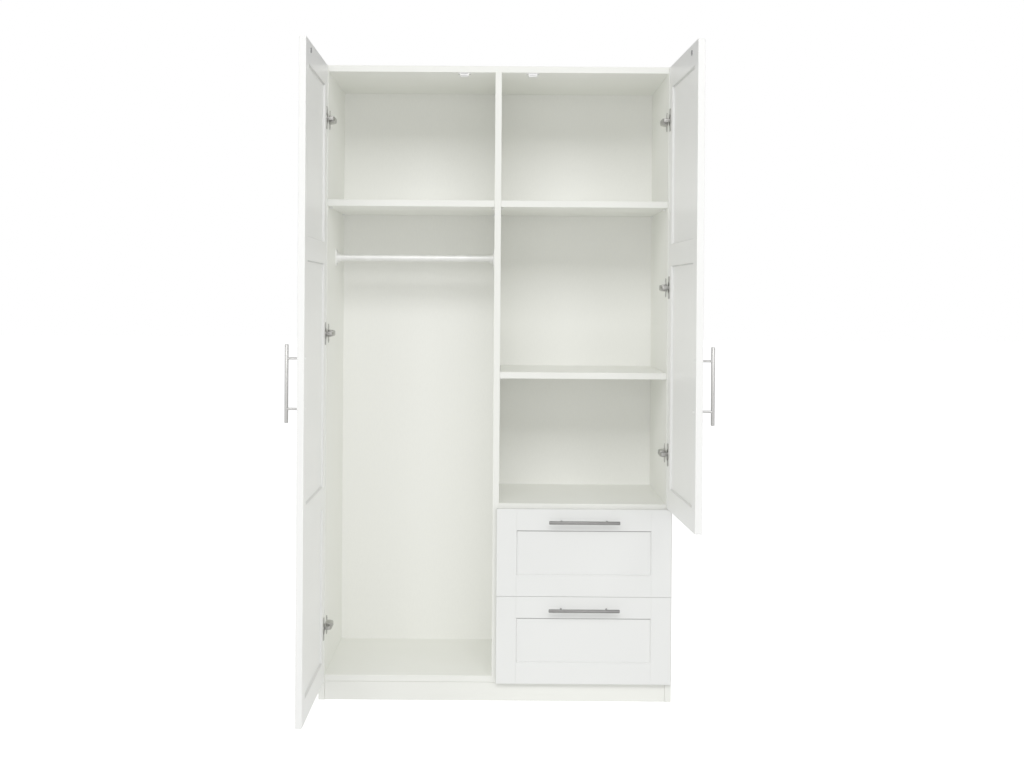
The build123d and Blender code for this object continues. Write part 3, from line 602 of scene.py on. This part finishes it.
# White caps over the handle screws on the doors' inner faces
cap_radius, cap_bore = 4.6 * MM, 3.7 * MM
cap_rise, cap_ceiling = 1.6 * MM, 1.15 * MM
cap_profile = [
    (0, cap_ceiling), (cap_bore, cap_ceiling), (cap_bore, 0), (cap_radius, 0), (cap_radius, 0.5 * MM),
    (cap_radius - 0.6 * MM, 1.3 * MM), (cap_radius - 2 * MM, cap_rise), (0, cap_rise),
]
for door in ("left_door", "right_door"):
    local = door_frame(door)
    tips = sorted(lumps(f"{door}_screws", local), key=lambda box: -box[1].z)[:2]
    inner_face = lumps(f"{door}_stiles", local)[0][0].z
    mesh = bmesh.new()
    for box in tips:
        centre = middle(box)
        place = local @ Matrix.Translation((centre.x, centre.y, inner_face)) @ Matrix.Rotation(pi, 4, "X")
        lathe(mesh, place, cap_profile)
    add_piece(f"{door}_screw_cap_set", mesh, looks["cap_white"], "door_white", door)

for drawer in ("upper_drawer", "lower_drawer"):
    mesh = bmesh.new()
    for box in lumps(f"{drawer}_screws"):
        size = box[1] - box[0]
        if size.y > size.x:
            screw_from_box(mesh, box, Matrix.Identity(4), 1, 1, head_height)
        else:
            inward = -1 if middle(box).x < middle(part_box(f"{drawer}_back")).x else 1
            screw_from_box(mesh, box, Matrix.Identity(4), 0, inward, head_height)
    add_piece(f"{drawer}_screw_set", mesh, looks["screw_zinc"], "screw_zinc", drawer, f"{drawer}_screws")

# Cam locks: a flush cam with a cross recess, and its bolt
top_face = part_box("top_panel")[1].z
cam_foot = 0.2 * MM
cam_turn_per_metre = 9
bolt_drop = 9
bolt_neck, bolt_radius = 2.2 * MM, 3 * MM
mesh = bmesh.new()
for low, high in lumps("cam_locks"):
    length = high.x - low.x
    cam_radius = (high.y - low.y) / 2
    into_left = low.x < -half_board or abs(low.x) < half_board
    cam_x = high.x - cam_radius if into_left else low.x + cam_radius
    centre_y = (low.y + high.y) / 2
    up = high.z > top_face - 1 * MM
    face = high.z if up else low.z
    depth = high.z - low.z
    place = frame_of((cam_x, centre_y, face), (1, 0, 0), (0, 0, 1 if up else -1))
    turn = Matrix.Rotation(cam_x * cam_turn_per_metre, 4, "Z")
    place = place @ Matrix.Translation((0, 0, -depth + cam_foot)) @ turn
    screw(mesh, place, cam_radius, depth - cam_foot, cam_radius * 0.8, 0.1 * MM, flush=True)
    bolt_start = low.x if into_left else high.x
    run = 1 if into_left else -1
    bolt_z = face + (-bolt_drop if up else bolt_drop) * MM
    bolt = frame_of((bolt_start, centre_y, bolt_z), (0, 1, 0), (run, 0, 0))
    reach = length - 2 * cam_radius + 2 * MM
    profile = [(0, 0), (bolt_neck, 0), (bolt_radius, 1 * MM), (bolt_radius, reach), (0, reach)]
    lathe(mesh, bolt, profile, 16)
add_piece("cam_lock_set", mesh, looks["screw_zinc"], "screw_zinc", "carcass", "cam_locks")

# Shelf pins: a shank in the panel, a waist and a rounded peg under the shelf
nose = 0.8 * MM
waist = 0.85
mesh = bmesh.new()
for low, high in lumps("shelf_pins"):
    radius = (high.y - low.y) / 2
    length = high.x - low.x
    centre = middle((low, high))
    place = frame_of((low.x, centre.y, centre.z), (0, 1, 0), (1, 0, 0))
    profile = [
        (0, 0), (radius * 0.7, 0), (radius, nose), (radius, 0.42 * length), (radius * waist, 0.45 * length),
        (radius * waist, 0.5 * length), (radius, 0.53 * length), (radius, length - nose),
        (radius * 0.7, length), (0, length),
    ]
    lathe(mesh, place, profile, 20)
add_piece("shelf_pin_set", mesh, looks["catch_plastic"], "catch_plastic", "carcass", "shelf_pins")

# Glides: round pads with a sunk nail
mesh = bmesh.new()
for low, high in lumps("floor_glides"):
    radius = (high.x - low.x) / 2
    rise = high.z - low.z
    place = frame_of(((low.x + high.x) / 2, (low.y + high.y) / 2, low.z), (1, 0, 0), (0, 0, 1))
    profile = [
        (0, 0.4 * MM), (radius * 0.3, 0.4 * MM), (radius * 0.36, 0.05 * MM), (radius * 0.5, 0),
        (radius * 0.9, 0), (radius, 0.8 * MM), (radius, rise), (0, rise),
    ]
    lathe(mesh, place, profile)
add_piece("floor_glide_set", mesh, looks["glide_plastic"], "glide_plastic", "carcass", "floor_glides")

# Nails along the edges of the two back panels
mesh = bmesh.new()
nail_pitch = 150 * MM
nail_margin = 9 * MM
divider_margin = 4 * MM
nail_profile = in_mm([(0, -10), (0.8, -8), (0.8, 0), (2.6, 0), (2.2, 0.4), (0, 0.6)])
levels = [middle(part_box("top_panel")).z, middle(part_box("bottom_panel")).z]
for name in ("left_back_panel", "right_back_panel"):
    low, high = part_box(name)
    rows = [low.x + nail_margin, high.x - nail_margin]
    if name == "left_back_panel":
        rows[1] = high.x - divider_margin
    else:
        rows[0] = low.x + divider_margin
    spots = []
    count = round((levels[0] - levels[1]) / nail_pitch)
    for step in range(count + 1):
        z = levels[1] + (levels[0] - levels[1]) * step / count
        spots += [(x, z) for x in rows]
    count = round((rows[1] - rows[0]) / nail_pitch)
    for step in range(1, count):
        x = rows[0] + (rows[1] - rows[0]) * step / count
        spots += [(x, z) for z in levels]
    for x, z in spots:
        lathe(mesh, frame_of((x, high.y, z), (1, 0, 0), (0, 1, 0)), nail_profile, 12)
add_piece("back_nail_set", mesh, looks["screw_zinc"], "screw_zinc", "carcass")

# -------- hinges


def side_of(x):
    """1 on the right side of the wardrobe, -1 on the left."""
    return 1 if x > 0 else -1


def dimple(outer, shoulder):
    """Section of the raised ring round a screw, from two radii in mm."""
    return in_mm([(3.6, 0), (outer, 0), (shoulder, 0.5), (4.6, 0.6), (3.9, 0.4)])


def strap_edges(path, thick):
    """Both edges of a strap along a path, in metres from mm."""
    outer_edge, inner_edge = [], []
    for step, point in enumerate(path):
        before = path[max(step - 1, 0)]
        after = path[min(step + 1, len(path) - 1)]
        direction = Vector((after[0] - before[0], after[1] - before[1])).normalized()
        normal = Vector((direction.y, -direction.x)) * thick / 2
        outer_edge.append(((point[0] + normal.x) * MM, (point[1] + normal.y) * MM))
        inner_edge.append(((point[0] - normal.x) * MM, (point[1] - normal.y) * MM))
    return outer_edge, inner_edge


# The plate's wings, foot and ridge
wing_width, wing_corner, wing_shift = 14 * MM, 5 * MM, -1 * MM
foot_height, foot_corner = 24 * MM, 3 * MM
ridge_height, ridge_corner, ridge_rise = 15 * MM, 2 * MM, 2 * MM
# The arm: its section as a share of its rise and mm across, and its screws as mm along it and a radius
arm_length = 52 * MM
arm_section = [
    (0, 10), (0, -10), (0.35, -9.7), (0.8, -8.4), (0.93, -7.2), (1.0, -5.2),
    (1.0, 5.2), (0.93, 7.2), (0.8, 8.4), (0.35, 9.7),
]
arm_screws = ((11, 3.4), (35, 4.3))
# The strap from the pin, in mm from the pivot, and the pin's tube
strap_path = [(1.4, -0.9), (8, -1.1), (18, -1.1), (21.5, -0.6), (24, 1.4), (25, 4.5), (25, 12), (24.6, 19.5)]
strap_outer, strap_inner = strap_edges(strap_path, 1.8)
strap_half = 4.4 * MM
pin_inset = 2.2 * MM
tube_bore, tube_radius = 1.25 * MM, 2.1 * MM
plate_mesh = bmesh.new()
arm_mesh = bmesh.new()
pin_line_y = middle(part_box("left_door_hinge_pins")).y
for low, high in lumps("hinge_plates"):
    side = side_of(low.x)
    wall = high.x if side > 0 else low.x
    thickness = high.x - low.x
    centre = middle((low, high))
    place = frame_of((wall, centre.y, centre.z), (0, 1, 0), (-side, 0, 0))
    wing = rounded(wing_width, high.z - low.z, wing_corner, (wing_shift, 0))
    foot = rounded(high.y - low.y, foot_height, foot_corner)
    prism(plate_mesh, place, wing, 0, thickness * 0.98, 0.5 * MM)
    prism(plate_mesh, place, foot, 0, thickness, 0.5 * MM)
    ridge = rounded(high.y - low.y - 6 * MM, ridge_height, ridge_corner)
    prism(plate_mesh, place, ridge, thickness * 0.5, thickness + ridge_rise, 0.6 * MM)
    for offset in (-19 * MM, 19 * MM):
        spot = place @ Matrix.Translation((wing_shift, offset, thickness * 0.9))
        lathe(plate_mesh, spot, dimple(5.2, 5.0), 24)
for low, high in lumps("hinge_arms"):
    side = side_of(low.x)
    z = (low.z + high.z) / 2
    pivot_x = high.x - pin_inset if side > 0 else low.x + pin_inset
    top_x = low.x if side > 0 else high.x
    foot_x = side * side_inner - side * 2 * MM
    front = high.y - arm_length
    rise = abs(foot_x - top_x)
    # Body: a bar with rounded shoulders over the plate's ridge
    outline = [(share * rise, half * MM) for share, half in arm_section]
    place = frame_of((foot_x, front, z), (-side, 0, 0), (0, 1, 0))
    prism(arm_mesh, place, outline, 0, arm_length, 1.6 * MM, 3)
    # Screws on the arm: height adjustment at the front, fixing at the rear
    for along, radius in arm_screws:
        spot = frame_of((top_x, front + along * MM, z), (0, 1, 0), (-side, 0, 0))
        collar = in_mm([(radius + 0.3, -0.4), (radius + 1.3, -0.4), (radius + 1.1, 0.5), (radius + 0.5, 0.6)])
        lathe(arm_mesh, spot, collar, 24)
        turned = spot @ Matrix.Rotation(along * 0.07, 4, "Z")
        screw(arm_mesh, turned, radius * MM, 0.9 * MM, radius * 0.5 * MM, 3 * MM)
    # Linkage: a tube round the pin, a strap out of the cup and two ribs on its gooseneck
    spin = frame_of((pivot_x, pin_line_y, z - strap_half), (-side, 0, 0), (0, 0, 1))
    tube = [(tube_bore, 0), (tube_radius, 0), (tube_radius, 2 * strap_half), (tube_bore, 2 * strap_half)]
    lathe(arm_mesh, spin, tube, 20)
    rib = strap_outer[2:] + [(x - 1.8 * MM, y + 1.0 * MM) for x, y in strap_inner[2:]][::-1]
    for outline, level, thick, bevel in (
        (strap_outer + strap_inner[::-1], z - strap_half, 2 * strap_half, 0.4 * MM),
        (rib, z - strap_half - 0.2 * MM, 1.0 * MM, 0.2 * MM),
        (rib, z + strap_half - 0.8 * MM, 1.0 * MM, 0.2 * MM),
    ):
        base = Matrix.Translation((pivot_x, pin_line_y, level)) @ Matrix.Diagonal((-side, 1, 1, 1))
        prism(arm_mesh, base, outline, 0, thick, bevel)
add_piece("hinge_plate_set", plate_mesh, looks["hinge_nickel"], "hinge_nickel", "carcass", "hinge_plates")
add_piece("hinge_arm_set", arm_mesh, looks["hinge_nickel"], "hinge_nickel", "carcass", "hinge_arms")

cup_radius = 17.5 * MM
cup_depth = 11.5 * MM
flange = 1.5 * MM
tab_half_width, tab_corner = 12 * MM, 6 * MM
lug_offset, lug_half = 7.4 * MM, 1.7 * MM
dimple_offset = 24 * MM
for door in ("left_door", "right_door"):
    local = door_frame(door)
    mesh = bmesh.new()
    pins = lumps(f"{door}_hinge_pins", local)
    for low, high in lumps(f"{door}_hinge_cups", local):
        cup = middle((low, high))
        place = local @ Matrix.Translation((cup.x, cup.y, 0)) @ Matrix.Rotation(pi, 4, "X")
        seat = -(low.z + flange)
        tab = tab_outline(tab_half_width, (high.y - low.y) / 2, tab_corner, cup_radius - 0.3 * MM)
        for half_turn in (0, pi):
            prism(mesh, place @ Matrix.Rotation(half_turn, 4, "Z"), tab, seat, seat + flange, 0.3 * MM)
        profile = [
            (0, seat - cup_depth), (14.5 * MM, seat - cup_depth), (16.6 * MM, seat - 10.6 * MM),
            (cup_radius, seat - 8.5 * MM), (cup_radius, seat), (cup_radius - 0.2 * MM, seat + 1.9 * MM),
            (cup_radius - 0.6 * MM, seat + 2.1 * MM), (cup_radius - 0.9 * MM, seat + 1.8 * MM),
            (cup_radius - 1.0 * MM, seat - 7.5 * MM), (14.6 * MM, seat - 9.7 * MM), (0, seat - 10.2 * MM),
        ]
        lathe(mesh, place, profile, 40)
        pin = min(pins, key=lambda box: abs(middle(box).y - cup.y))
        pin_x = middle(pin).x - cup.x
        pin_z = -middle(pin).z
        for level in (-1, 1):
            lug = rounded(6 * MM, 7.5 * MM, 2.6 * MM, (pin_x, pin_z - 0.8 * MM))
            turned = place @ frame_of((0, level * lug_offset, 0), (1, 0, 0), (0, -1, 0))
            prism(mesh, turned, lug, -lug_half, lug_half, 0.3 * MM)
            spot = place @ Matrix.Translation((0, level * dimple_offset, seat + 1.4 * MM))
            lathe(mesh, spot, dimple(5.4, 5.1), 24)
    add_piece(
        f"{door}_hinge_cup_set", mesh, looks["hinge_nickel"], "hinge_nickel", door, f"{door}_hinge_cups"
    )

# -------- mouldings round the panels, and painted shadow strips along their tops

panel_hold = 7.0 * MM
bead_width = 2.6 * MM
bead_lip = 0.3 * MM
bead_foot = 0.6 * MM
bead_sink = 0.3 * MM
painted_shadow_width = 3.0 * MM
painted_shadow_depth = 1.6 * MM


def bead_ring(mesh, local, opening, panel_face, front_face):
    """Mitred sloping moulding at the sides and foot of an opening, from the frame's face to the panel."""
    x0, y0, x1, y1 = opening
    rise = 1 if front_face > panel_face else -1
    section = [
        (0, panel_face - rise * bead_sink), (0, front_face - rise * bead_lip),
        (bead_lip, front_face - rise * bead_lip), (bead_width, panel_face + rise * bead_foot),
        (bead_width, panel_face - rise * bead_sink),
    ]
    loops = []
    for inset, z in section:
        left, right, foot, top = x0 + inset, x1 - inset, y0 + inset, y1 - bead_sink
        corners = ((left, top), (left, foot), (right, foot), (right, top))
        loops.append([mesh.verts.new(local @ Vector((x, y, z))) for x, y in corners])
    for first, second in zip(loops, loops[1:] + loops[:1]):
        for step in range(len(first) - 1):
            mesh.faces.new((first[step], first[step + 1], second[step + 1], second[step]))
    for end in (0, -1):
        mesh.faces.new([loop[end] for loop in loops])


def painted_shadow_strip(mesh, local, opening, panel_face, front_face):
    """Grey strip in the joint under a rail, along the top of a panel: a painted shadow of the rail."""
    x0, _, x1, y1 = opening
    rise = 1 if front_face > panel_face else -1
    top = y1 - bead_sink
    foot = top - painted_shadow_width
    deep = panel_face - rise * bead_sink
    proud = front_face - rise * painted_shadow_depth
    shallow = panel_face + rise * bead_foot
    section = [(top, deep), (top, proud), (top - bead_lip, proud), (foot, shallow), (foot, deep)]
    ends = []
    for x in (x0 + bead_sink, x1 - bead_sink):
        ends.append([mesh.verts.new(local @ Vector((x, y, z))) for y, z in section])
    for end in ends:
        mesh.faces.new(end)
    for step in range(len(section)):
        following = (step + 1) % len(section)
        mesh.faces.new((ends[0][step], ends[0][following], ends[1][following], ends[1][step]))


for body in ("left_door", "right_door", "upper_drawer", "lower_drawer"):
    is_door = body.endswith("door")
    local = door_frame(body) if is_door else drawer_frame
    front = body if is_door else f"{body}_front"
    stile_low, stile_high = lumps(f"{front}_stiles", local)[0]
    mesh = bmesh.new()
    strip_mesh = bmesh.new()
    for low, high in lumps(f"{front}_panels" if is_door else f"{front}_panel", local):
        opening = (low.x + panel_hold, low.y + panel_hold, high.x - panel_hold, high.y - panel_hold)
        for faces in ((low.z, stile_low.z), (high.z, stile_high.z)):
            bead_ring(mesh, local, opening, *faces)
            # Painted shadow strip along the top of the panel, under the rail.
            painted_shadow_strip(strip_mesh, local, opening, *faces)
    kind = "door" if is_door else "drawer"
    # The mouldings' tones are painted light: darker than the door face as shade, lighter than the drawer face
    # as a highlight.
    add_piece(f"{body}_moulding_set", mesh, looks[f"{kind}_bead"], "door_white", body)
    add_piece(f"{body}_painted_shadow_set", strip_mesh, looks[f"{kind}_reveal"], "door_white", body)

# -------- handles


post_spacing = 128 * MM
bar_nose = 1.6 * MM


def bar_handle(mesh, local, bar, upright):
    """Round bar on two flared posts; bar is the CAD bar's box in the door's or drawer's frame."""
    low, high = bar
    length = (high.y - low.y) if upright else (high.x - low.x)
    radius = ((high.x - low.x) if upright else (high.y - low.y)) / 2
    seat = low.z
    axis_z = high.z - radius
    centre = middle(bar)
    if upright:
        start = (centre.x, low.y, axis_z)
        place = local @ frame_of(start, (1, 0, 0), (0, 1, 0))
    else:
        start = (low.x, centre.y, axis_z)
        place = local @ frame_of(start, (0, 1, 0), (1, 0, 0))
    end = [(0, 0), (radius * 0.6, 0.1 * MM), (radius * 0.88, bar_nose * 0.4), (radius, bar_nose)]
    lathe(mesh, place, end + [(r, length - z) for r, z in reversed(end)], 36)
    reach = axis_z - seat - radius * 0.6
    thin = (3.2 if upright else 2.5) * MM
    wide = thin + 0.5 * MM
    post_profile = [
        (0, 0), (wide, 0), (wide, 1.2 * MM), (wide - 0.5 * MM, 1.7 * MM), (thin + 0.3 * MM, 2.2 * MM),
        (thin, 4 * MM), (thin, reach - 3 * MM), (thin + 0.6 * MM, reach), (0, reach),
    ]
    for offset in (-post_spacing / 2, post_spacing / 2):
        x, y = (centre.x, centre.y + offset) if upright else (centre.x + offset, centre.y)
        lathe(mesh, local @ Matrix.Translation((x, y, seat)), post_profile)


for body in ("left_door", "right_door", "upper_drawer", "lower_drawer"):
    upright = body.endswith("door")
    local = door_frame(body) if upright else drawer_frame
    box = lumps(f"{body}_handle", local)[0]
    look = looks["handle_nickel"] if upright else looks["shaded_handle_level"]
    mesh = bmesh.new()
    bar_handle(mesh, local, box, upright)
    add_piece(f"{body}_bar_handle", mesh, look, "handle_nickel", body, f"{body}_handle")

# -------- hanging rail

low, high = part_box("hanging_rail")
rail_radius = (high.z - low.z) / 2
rail_length = high.x - low.x
rail_centre = middle((low, high))
rail_wall = 1.2 * MM
mesh = bmesh.new()
place = frame_of((low.x, rail_centre.y, rail_centre.z), (0, 1, 0), (1, 0, 0))
bore = rail_radius - rail_wall
lathe(mesh, place, [(bore, 0), (rail_radius, 0), (rail_radius, rail_length), (bore, rail_length)], 48)
add_piece("hanging_rail_tube", mesh, looks["rail_chrome"], "rail_chrome", "carcass", "hanging_rail")

socket = rail_radius + 0.05 * MM
socket_profile = [
    (socket, 2 * MM), (16 * MM, 2 * MM), (16 * MM, 3.6 * MM), (14.2 * MM, 5 * MM),
    (14 * MM, 12 * MM), (13.4 * MM, 13 * MM), (11.6 * MM, 13 * MM), (socket, 12.4 * MM),
]
grub_along, grub_drop = 9 * MM, 14 * MM
mesh = bmesh.new()
for low, high in lumps("rail_brackets"):
    inward = 1 if low.x < -side_inner + 5 * MM else -1
    wall = low.x if inward > 0 else high.x
    place = frame_of((wall, rail_centre.y, rail_centre.z), (0, inward, 0), (inward, 0, 0))
    outline = rounded(high.y - low.y, high.z - low.z, 8 * MM, steps=8)
    prism(mesh, place, outline, 0, 3 * MM, 0.9 * MM, 3)
    lathe(mesh, place, socket_profile, 48)
    # Grub screw from below, which holds the tube
    spot = (wall + inward * grub_along, rail_centre.y, rail_centre.z - grub_drop)
    screw(mesh, frame_of(spot, (1, 0, 0), (0, 0, -1)), 2.2 * MM, 1.2 * MM, 1.5 * MM, 2.5 * MM)
add_piece("rail_bracket_set", mesh, looks["rail_chrome"], "rail_chrome", "carcass", "rail_brackets")

# -------- magnetic catches and strike plates

ear_thick, ear_shift = 3 * MM, -1.5 * MM
ear_screw_offset = 15.3 * MM
pole_offset, pole_thick, pole_depth, pole_play = 2.9 * MM, 1.6 * MM, 14 * MM, 0.2 * MM
body_mesh = bmesh.new()
steel_mesh = bmesh.new()
for low, high in lumps("magnetic_catches"):
    centre = middle((low, high))
    size = high - low
    ceiling = frame_of((centre.x, centre.y, high.z), (1, 0, 0), (0, 0, -1))
    core = rounded(size.x - 14 * MM, size.y - 1.5 * MM, 2 * MM, (0, -0.7 * MM))
    prism(body_mesh, ceiling, core, 0, size.z, 1.0 * MM, 3)
    ears = rounded(size.x, size.y * 0.55, 4 * MM, (0, ear_shift))
    prism(body_mesh, ceiling, ears, 0, ear_thick, 0.6 * MM)
    bar = rounded(size.x - 18 * MM, pole_thick, 0.4 * MM, steps=2)
    for way in (-1, 1):
        spot = ceiling @ Matrix.Translation((way * ear_screw_offset, ear_shift, ear_thick))
        screw(steel_mesh, spot, 2.7 * MM, 1.1 * MM, 1.3 * MM, 11 * MM)
        start = (centre.x, low.y + 0.1 * MM, centre.z + way * pole_offset)
        prism(steel_mesh, frame_of(start, (1, 0, 0), (0, -1, 0)), bar, -pole_depth, pole_play, 0.2 * MM)
add_piece("catch_body_set", body_mesh, looks["catch_plastic"], "catch_plastic", "carcass", "magnetic_catches")
add_piece("catch_steel_set", steel_mesh, magnet_look, "screw_zinc", "carcass")

# Strike plates: a round steel dish, a little lower than the CAD plate so that it clears the catch
strike_play = 0.4 * MM
for door in ("left_door", "right_door"):
    local = door_frame(door)
    low, high = lumps(f"{door}_strike", local)[0]
    centre = middle((low, high))
    radius = (high.x - low.x) / 2
    rise = high.z - low.z - strike_play
    place = local @ Matrix.Translation((centre.x, centre.y, high.z)) @ Matrix.Rotation(pi, 4, "X")
    mesh = bmesh.new()
    profile = [
        (0, 0), (radius, 0), (radius, rise - 0.5 * MM), (radius - 0.5 * MM, rise), (radius * 0.62, rise),
        (radius * 0.4, rise - 1.0 * MM), (0, rise - 1.0 * MM),
    ]
    lathe(mesh, place, profile, 36)
    head = place @ Matrix.Translation((0, 0, rise - 1.1 * MM))
    screw(mesh, head, radius * 0.4, 0.9 * MM, radius * 0.2, 1 * MM)
    add_piece(f"{door}_strike_plate", mesh, magnet_look, "screw_zinc", door, f"{door}_strike")

# -------- rollers

bore, hub = 2.05 * MM, 3.6 * MM
for drawer, body_end in (("upper", "front"), ("upper", "rear"), ("lower", "front"), ("lower", "rear")):
    node = f"{drawer}_{body_end}_rollers"
    mesh = bmesh.new()
    for low, high in lumps(node):
        radius = (high.z - low.z) / 2
        width = high.x - low.x
        centre = middle((low, high))
        place = frame_of((low.x, centre.y, centre.z), (0, 1, 0), (1, 0, 0))
        web = width * 0.22
        rim = radius - 1.8 * MM
        profile = [
            (bore, 0), (hub, 0), (hub, web), (rim, web), (rim, 0.2 * MM), (radius - 0.4 * MM, 0.2 * MM),
            (radius, 0.7 * MM), (radius, width - 0.7 * MM), (radius - 0.4 * MM, width - 0.2 * MM),
            (rim, width - 0.2 * MM), (rim, width - web), (hub, width - web), (hub, width), (bore, width),
        ]
        lathe(mesh, place, profile, 40)
    body = f"{drawer}_{body_end}_roller_pair"
    add_piece(f"{drawer}_{body_end}_wheels", mesh, looks["roller_plastic"], "roller_plastic", body, node)

# -------- floor, light and camera

carcass_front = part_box("left_side_panel")[0].y

floor_look = Look("studio_floor")
floor_tone = floor_look.mix(floor_look.noise(1.5, detail=2), (0.915, 0.915, 0.915), (0.925, 0.925, 0.925))
floor_look.shader.inputs["Emission Color"].default_value = (1, 1, 1, 1)
# The floor glows a little, as a lit studio sweep does, and more to the eye than on the object
seen = floor_look.add("LightPath").outputs["Is Camera Ray"]
floor_look.link(floor_look.remap(seen, 0, 1, 0.1, 1.0), floor_look.shader.inputs["Emission Strength"])
floor_look.link(floor_tone, floor_look.shader.inputs["Base Color"])
floor_look.shader.inputs["Roughness"].default_value = 0.7
floor_look.shader.inputs["Specular IOR Level"].default_value = 0.1
floor_data = bpy.data.meshes.new("studio_floor")
half_floor = 40.0
floor_z = -0.5 * MM
corners = [(x * half_floor, y * half_floor, floor_z) for x, y in ((-1, -1), (1, -1), (1, 1), (-1, 1))]
floor_data.from_pydata(corners, [], [(0, 1, 2, 3)])
floor_data.materials.append(floor_look.material)
floor = linked("studio_floor", floor_data)

# White surroundings: dim as light on the object, pure white to the eye
ambient = 0.2
world = bpy.data.worlds.new("studio")
bpy.context.scene.world = world
world.use_nodes = True
world_nodes = world.node_tree.nodes
background = world_nodes["Background"]
background.inputs["Color"].default_value = (1, 1, 1, 1)
seen = world_nodes.new("ShaderNodeLightPath").outputs["Is Camera Ray"]
strength = world_nodes.new("ShaderNodeMapRange")
strength.inputs["To Min"].default_value = ambient
strength.inputs["To Max"].default_value = 1.0
world.node_tree.links.new(seen, strength.inputs["Value"])
world.node_tree.links.new(strength.outputs["Result"], background.inputs["Strength"])


def area_light(name, location, target, size, power):
    """Soft rectangular light aimed at a point."""
    data = bpy.data.lights.new(name, "AREA")
    data.shape = "RECTANGLE"
    data.size, data.size_y = size
    data.energy = power
    lamp = linked(name, data)
    lamp.location = location
    lamp.rotation_euler = (Vector(target) - Vector(location)).to_track_quat("-Z", "Y").to_euler()


aim = (0, 0, 0.9)
side_size = (1.6, 2.4)
lights = (
    ("front_high", (0.0, -7.8, 5.15), aim, (6.8, 2.7), 400),
    ("front_low", (0.0, -7.8, 1.7), aim, (6.8, 1.6), 50),
    ("front_left", (-3.6, -4.0, 2.0), aim, side_size, 44),
    ("front_right", (3.6, -4.0, 2.0), aim, side_size, 44),
)
for light in lights:
    area_light(*light)

camera_data = bpy.data.cameras.new("camera")
camera_data.sensor_width = 36.0
camera_data.lens = 54.27
camera_data.shift_x = 0.0170
camera_data.shift_y = -0.0764
camera_data.clip_end = 100
camera = linked("camera", camera_data)
camera.location = (0.00152, carcass_front - 4.3714, 1.13838)
pan, tilt, roll = radians(-0.115), radians(-0.218), radians(0.395)
turn = Matrix.Rotation(-pan, 4, "Z") @ Matrix.Rotation(pi / 2 + tilt, 4, "X")
camera.rotation_euler = (turn @ Matrix.Rotation(roll, 4, "Z")).to_euler()
bpy.context.scene.camera = camera
settings = bpy.context.scene.view_settings
settings.view_transform = "Standard"
settings.gamma = 1.6
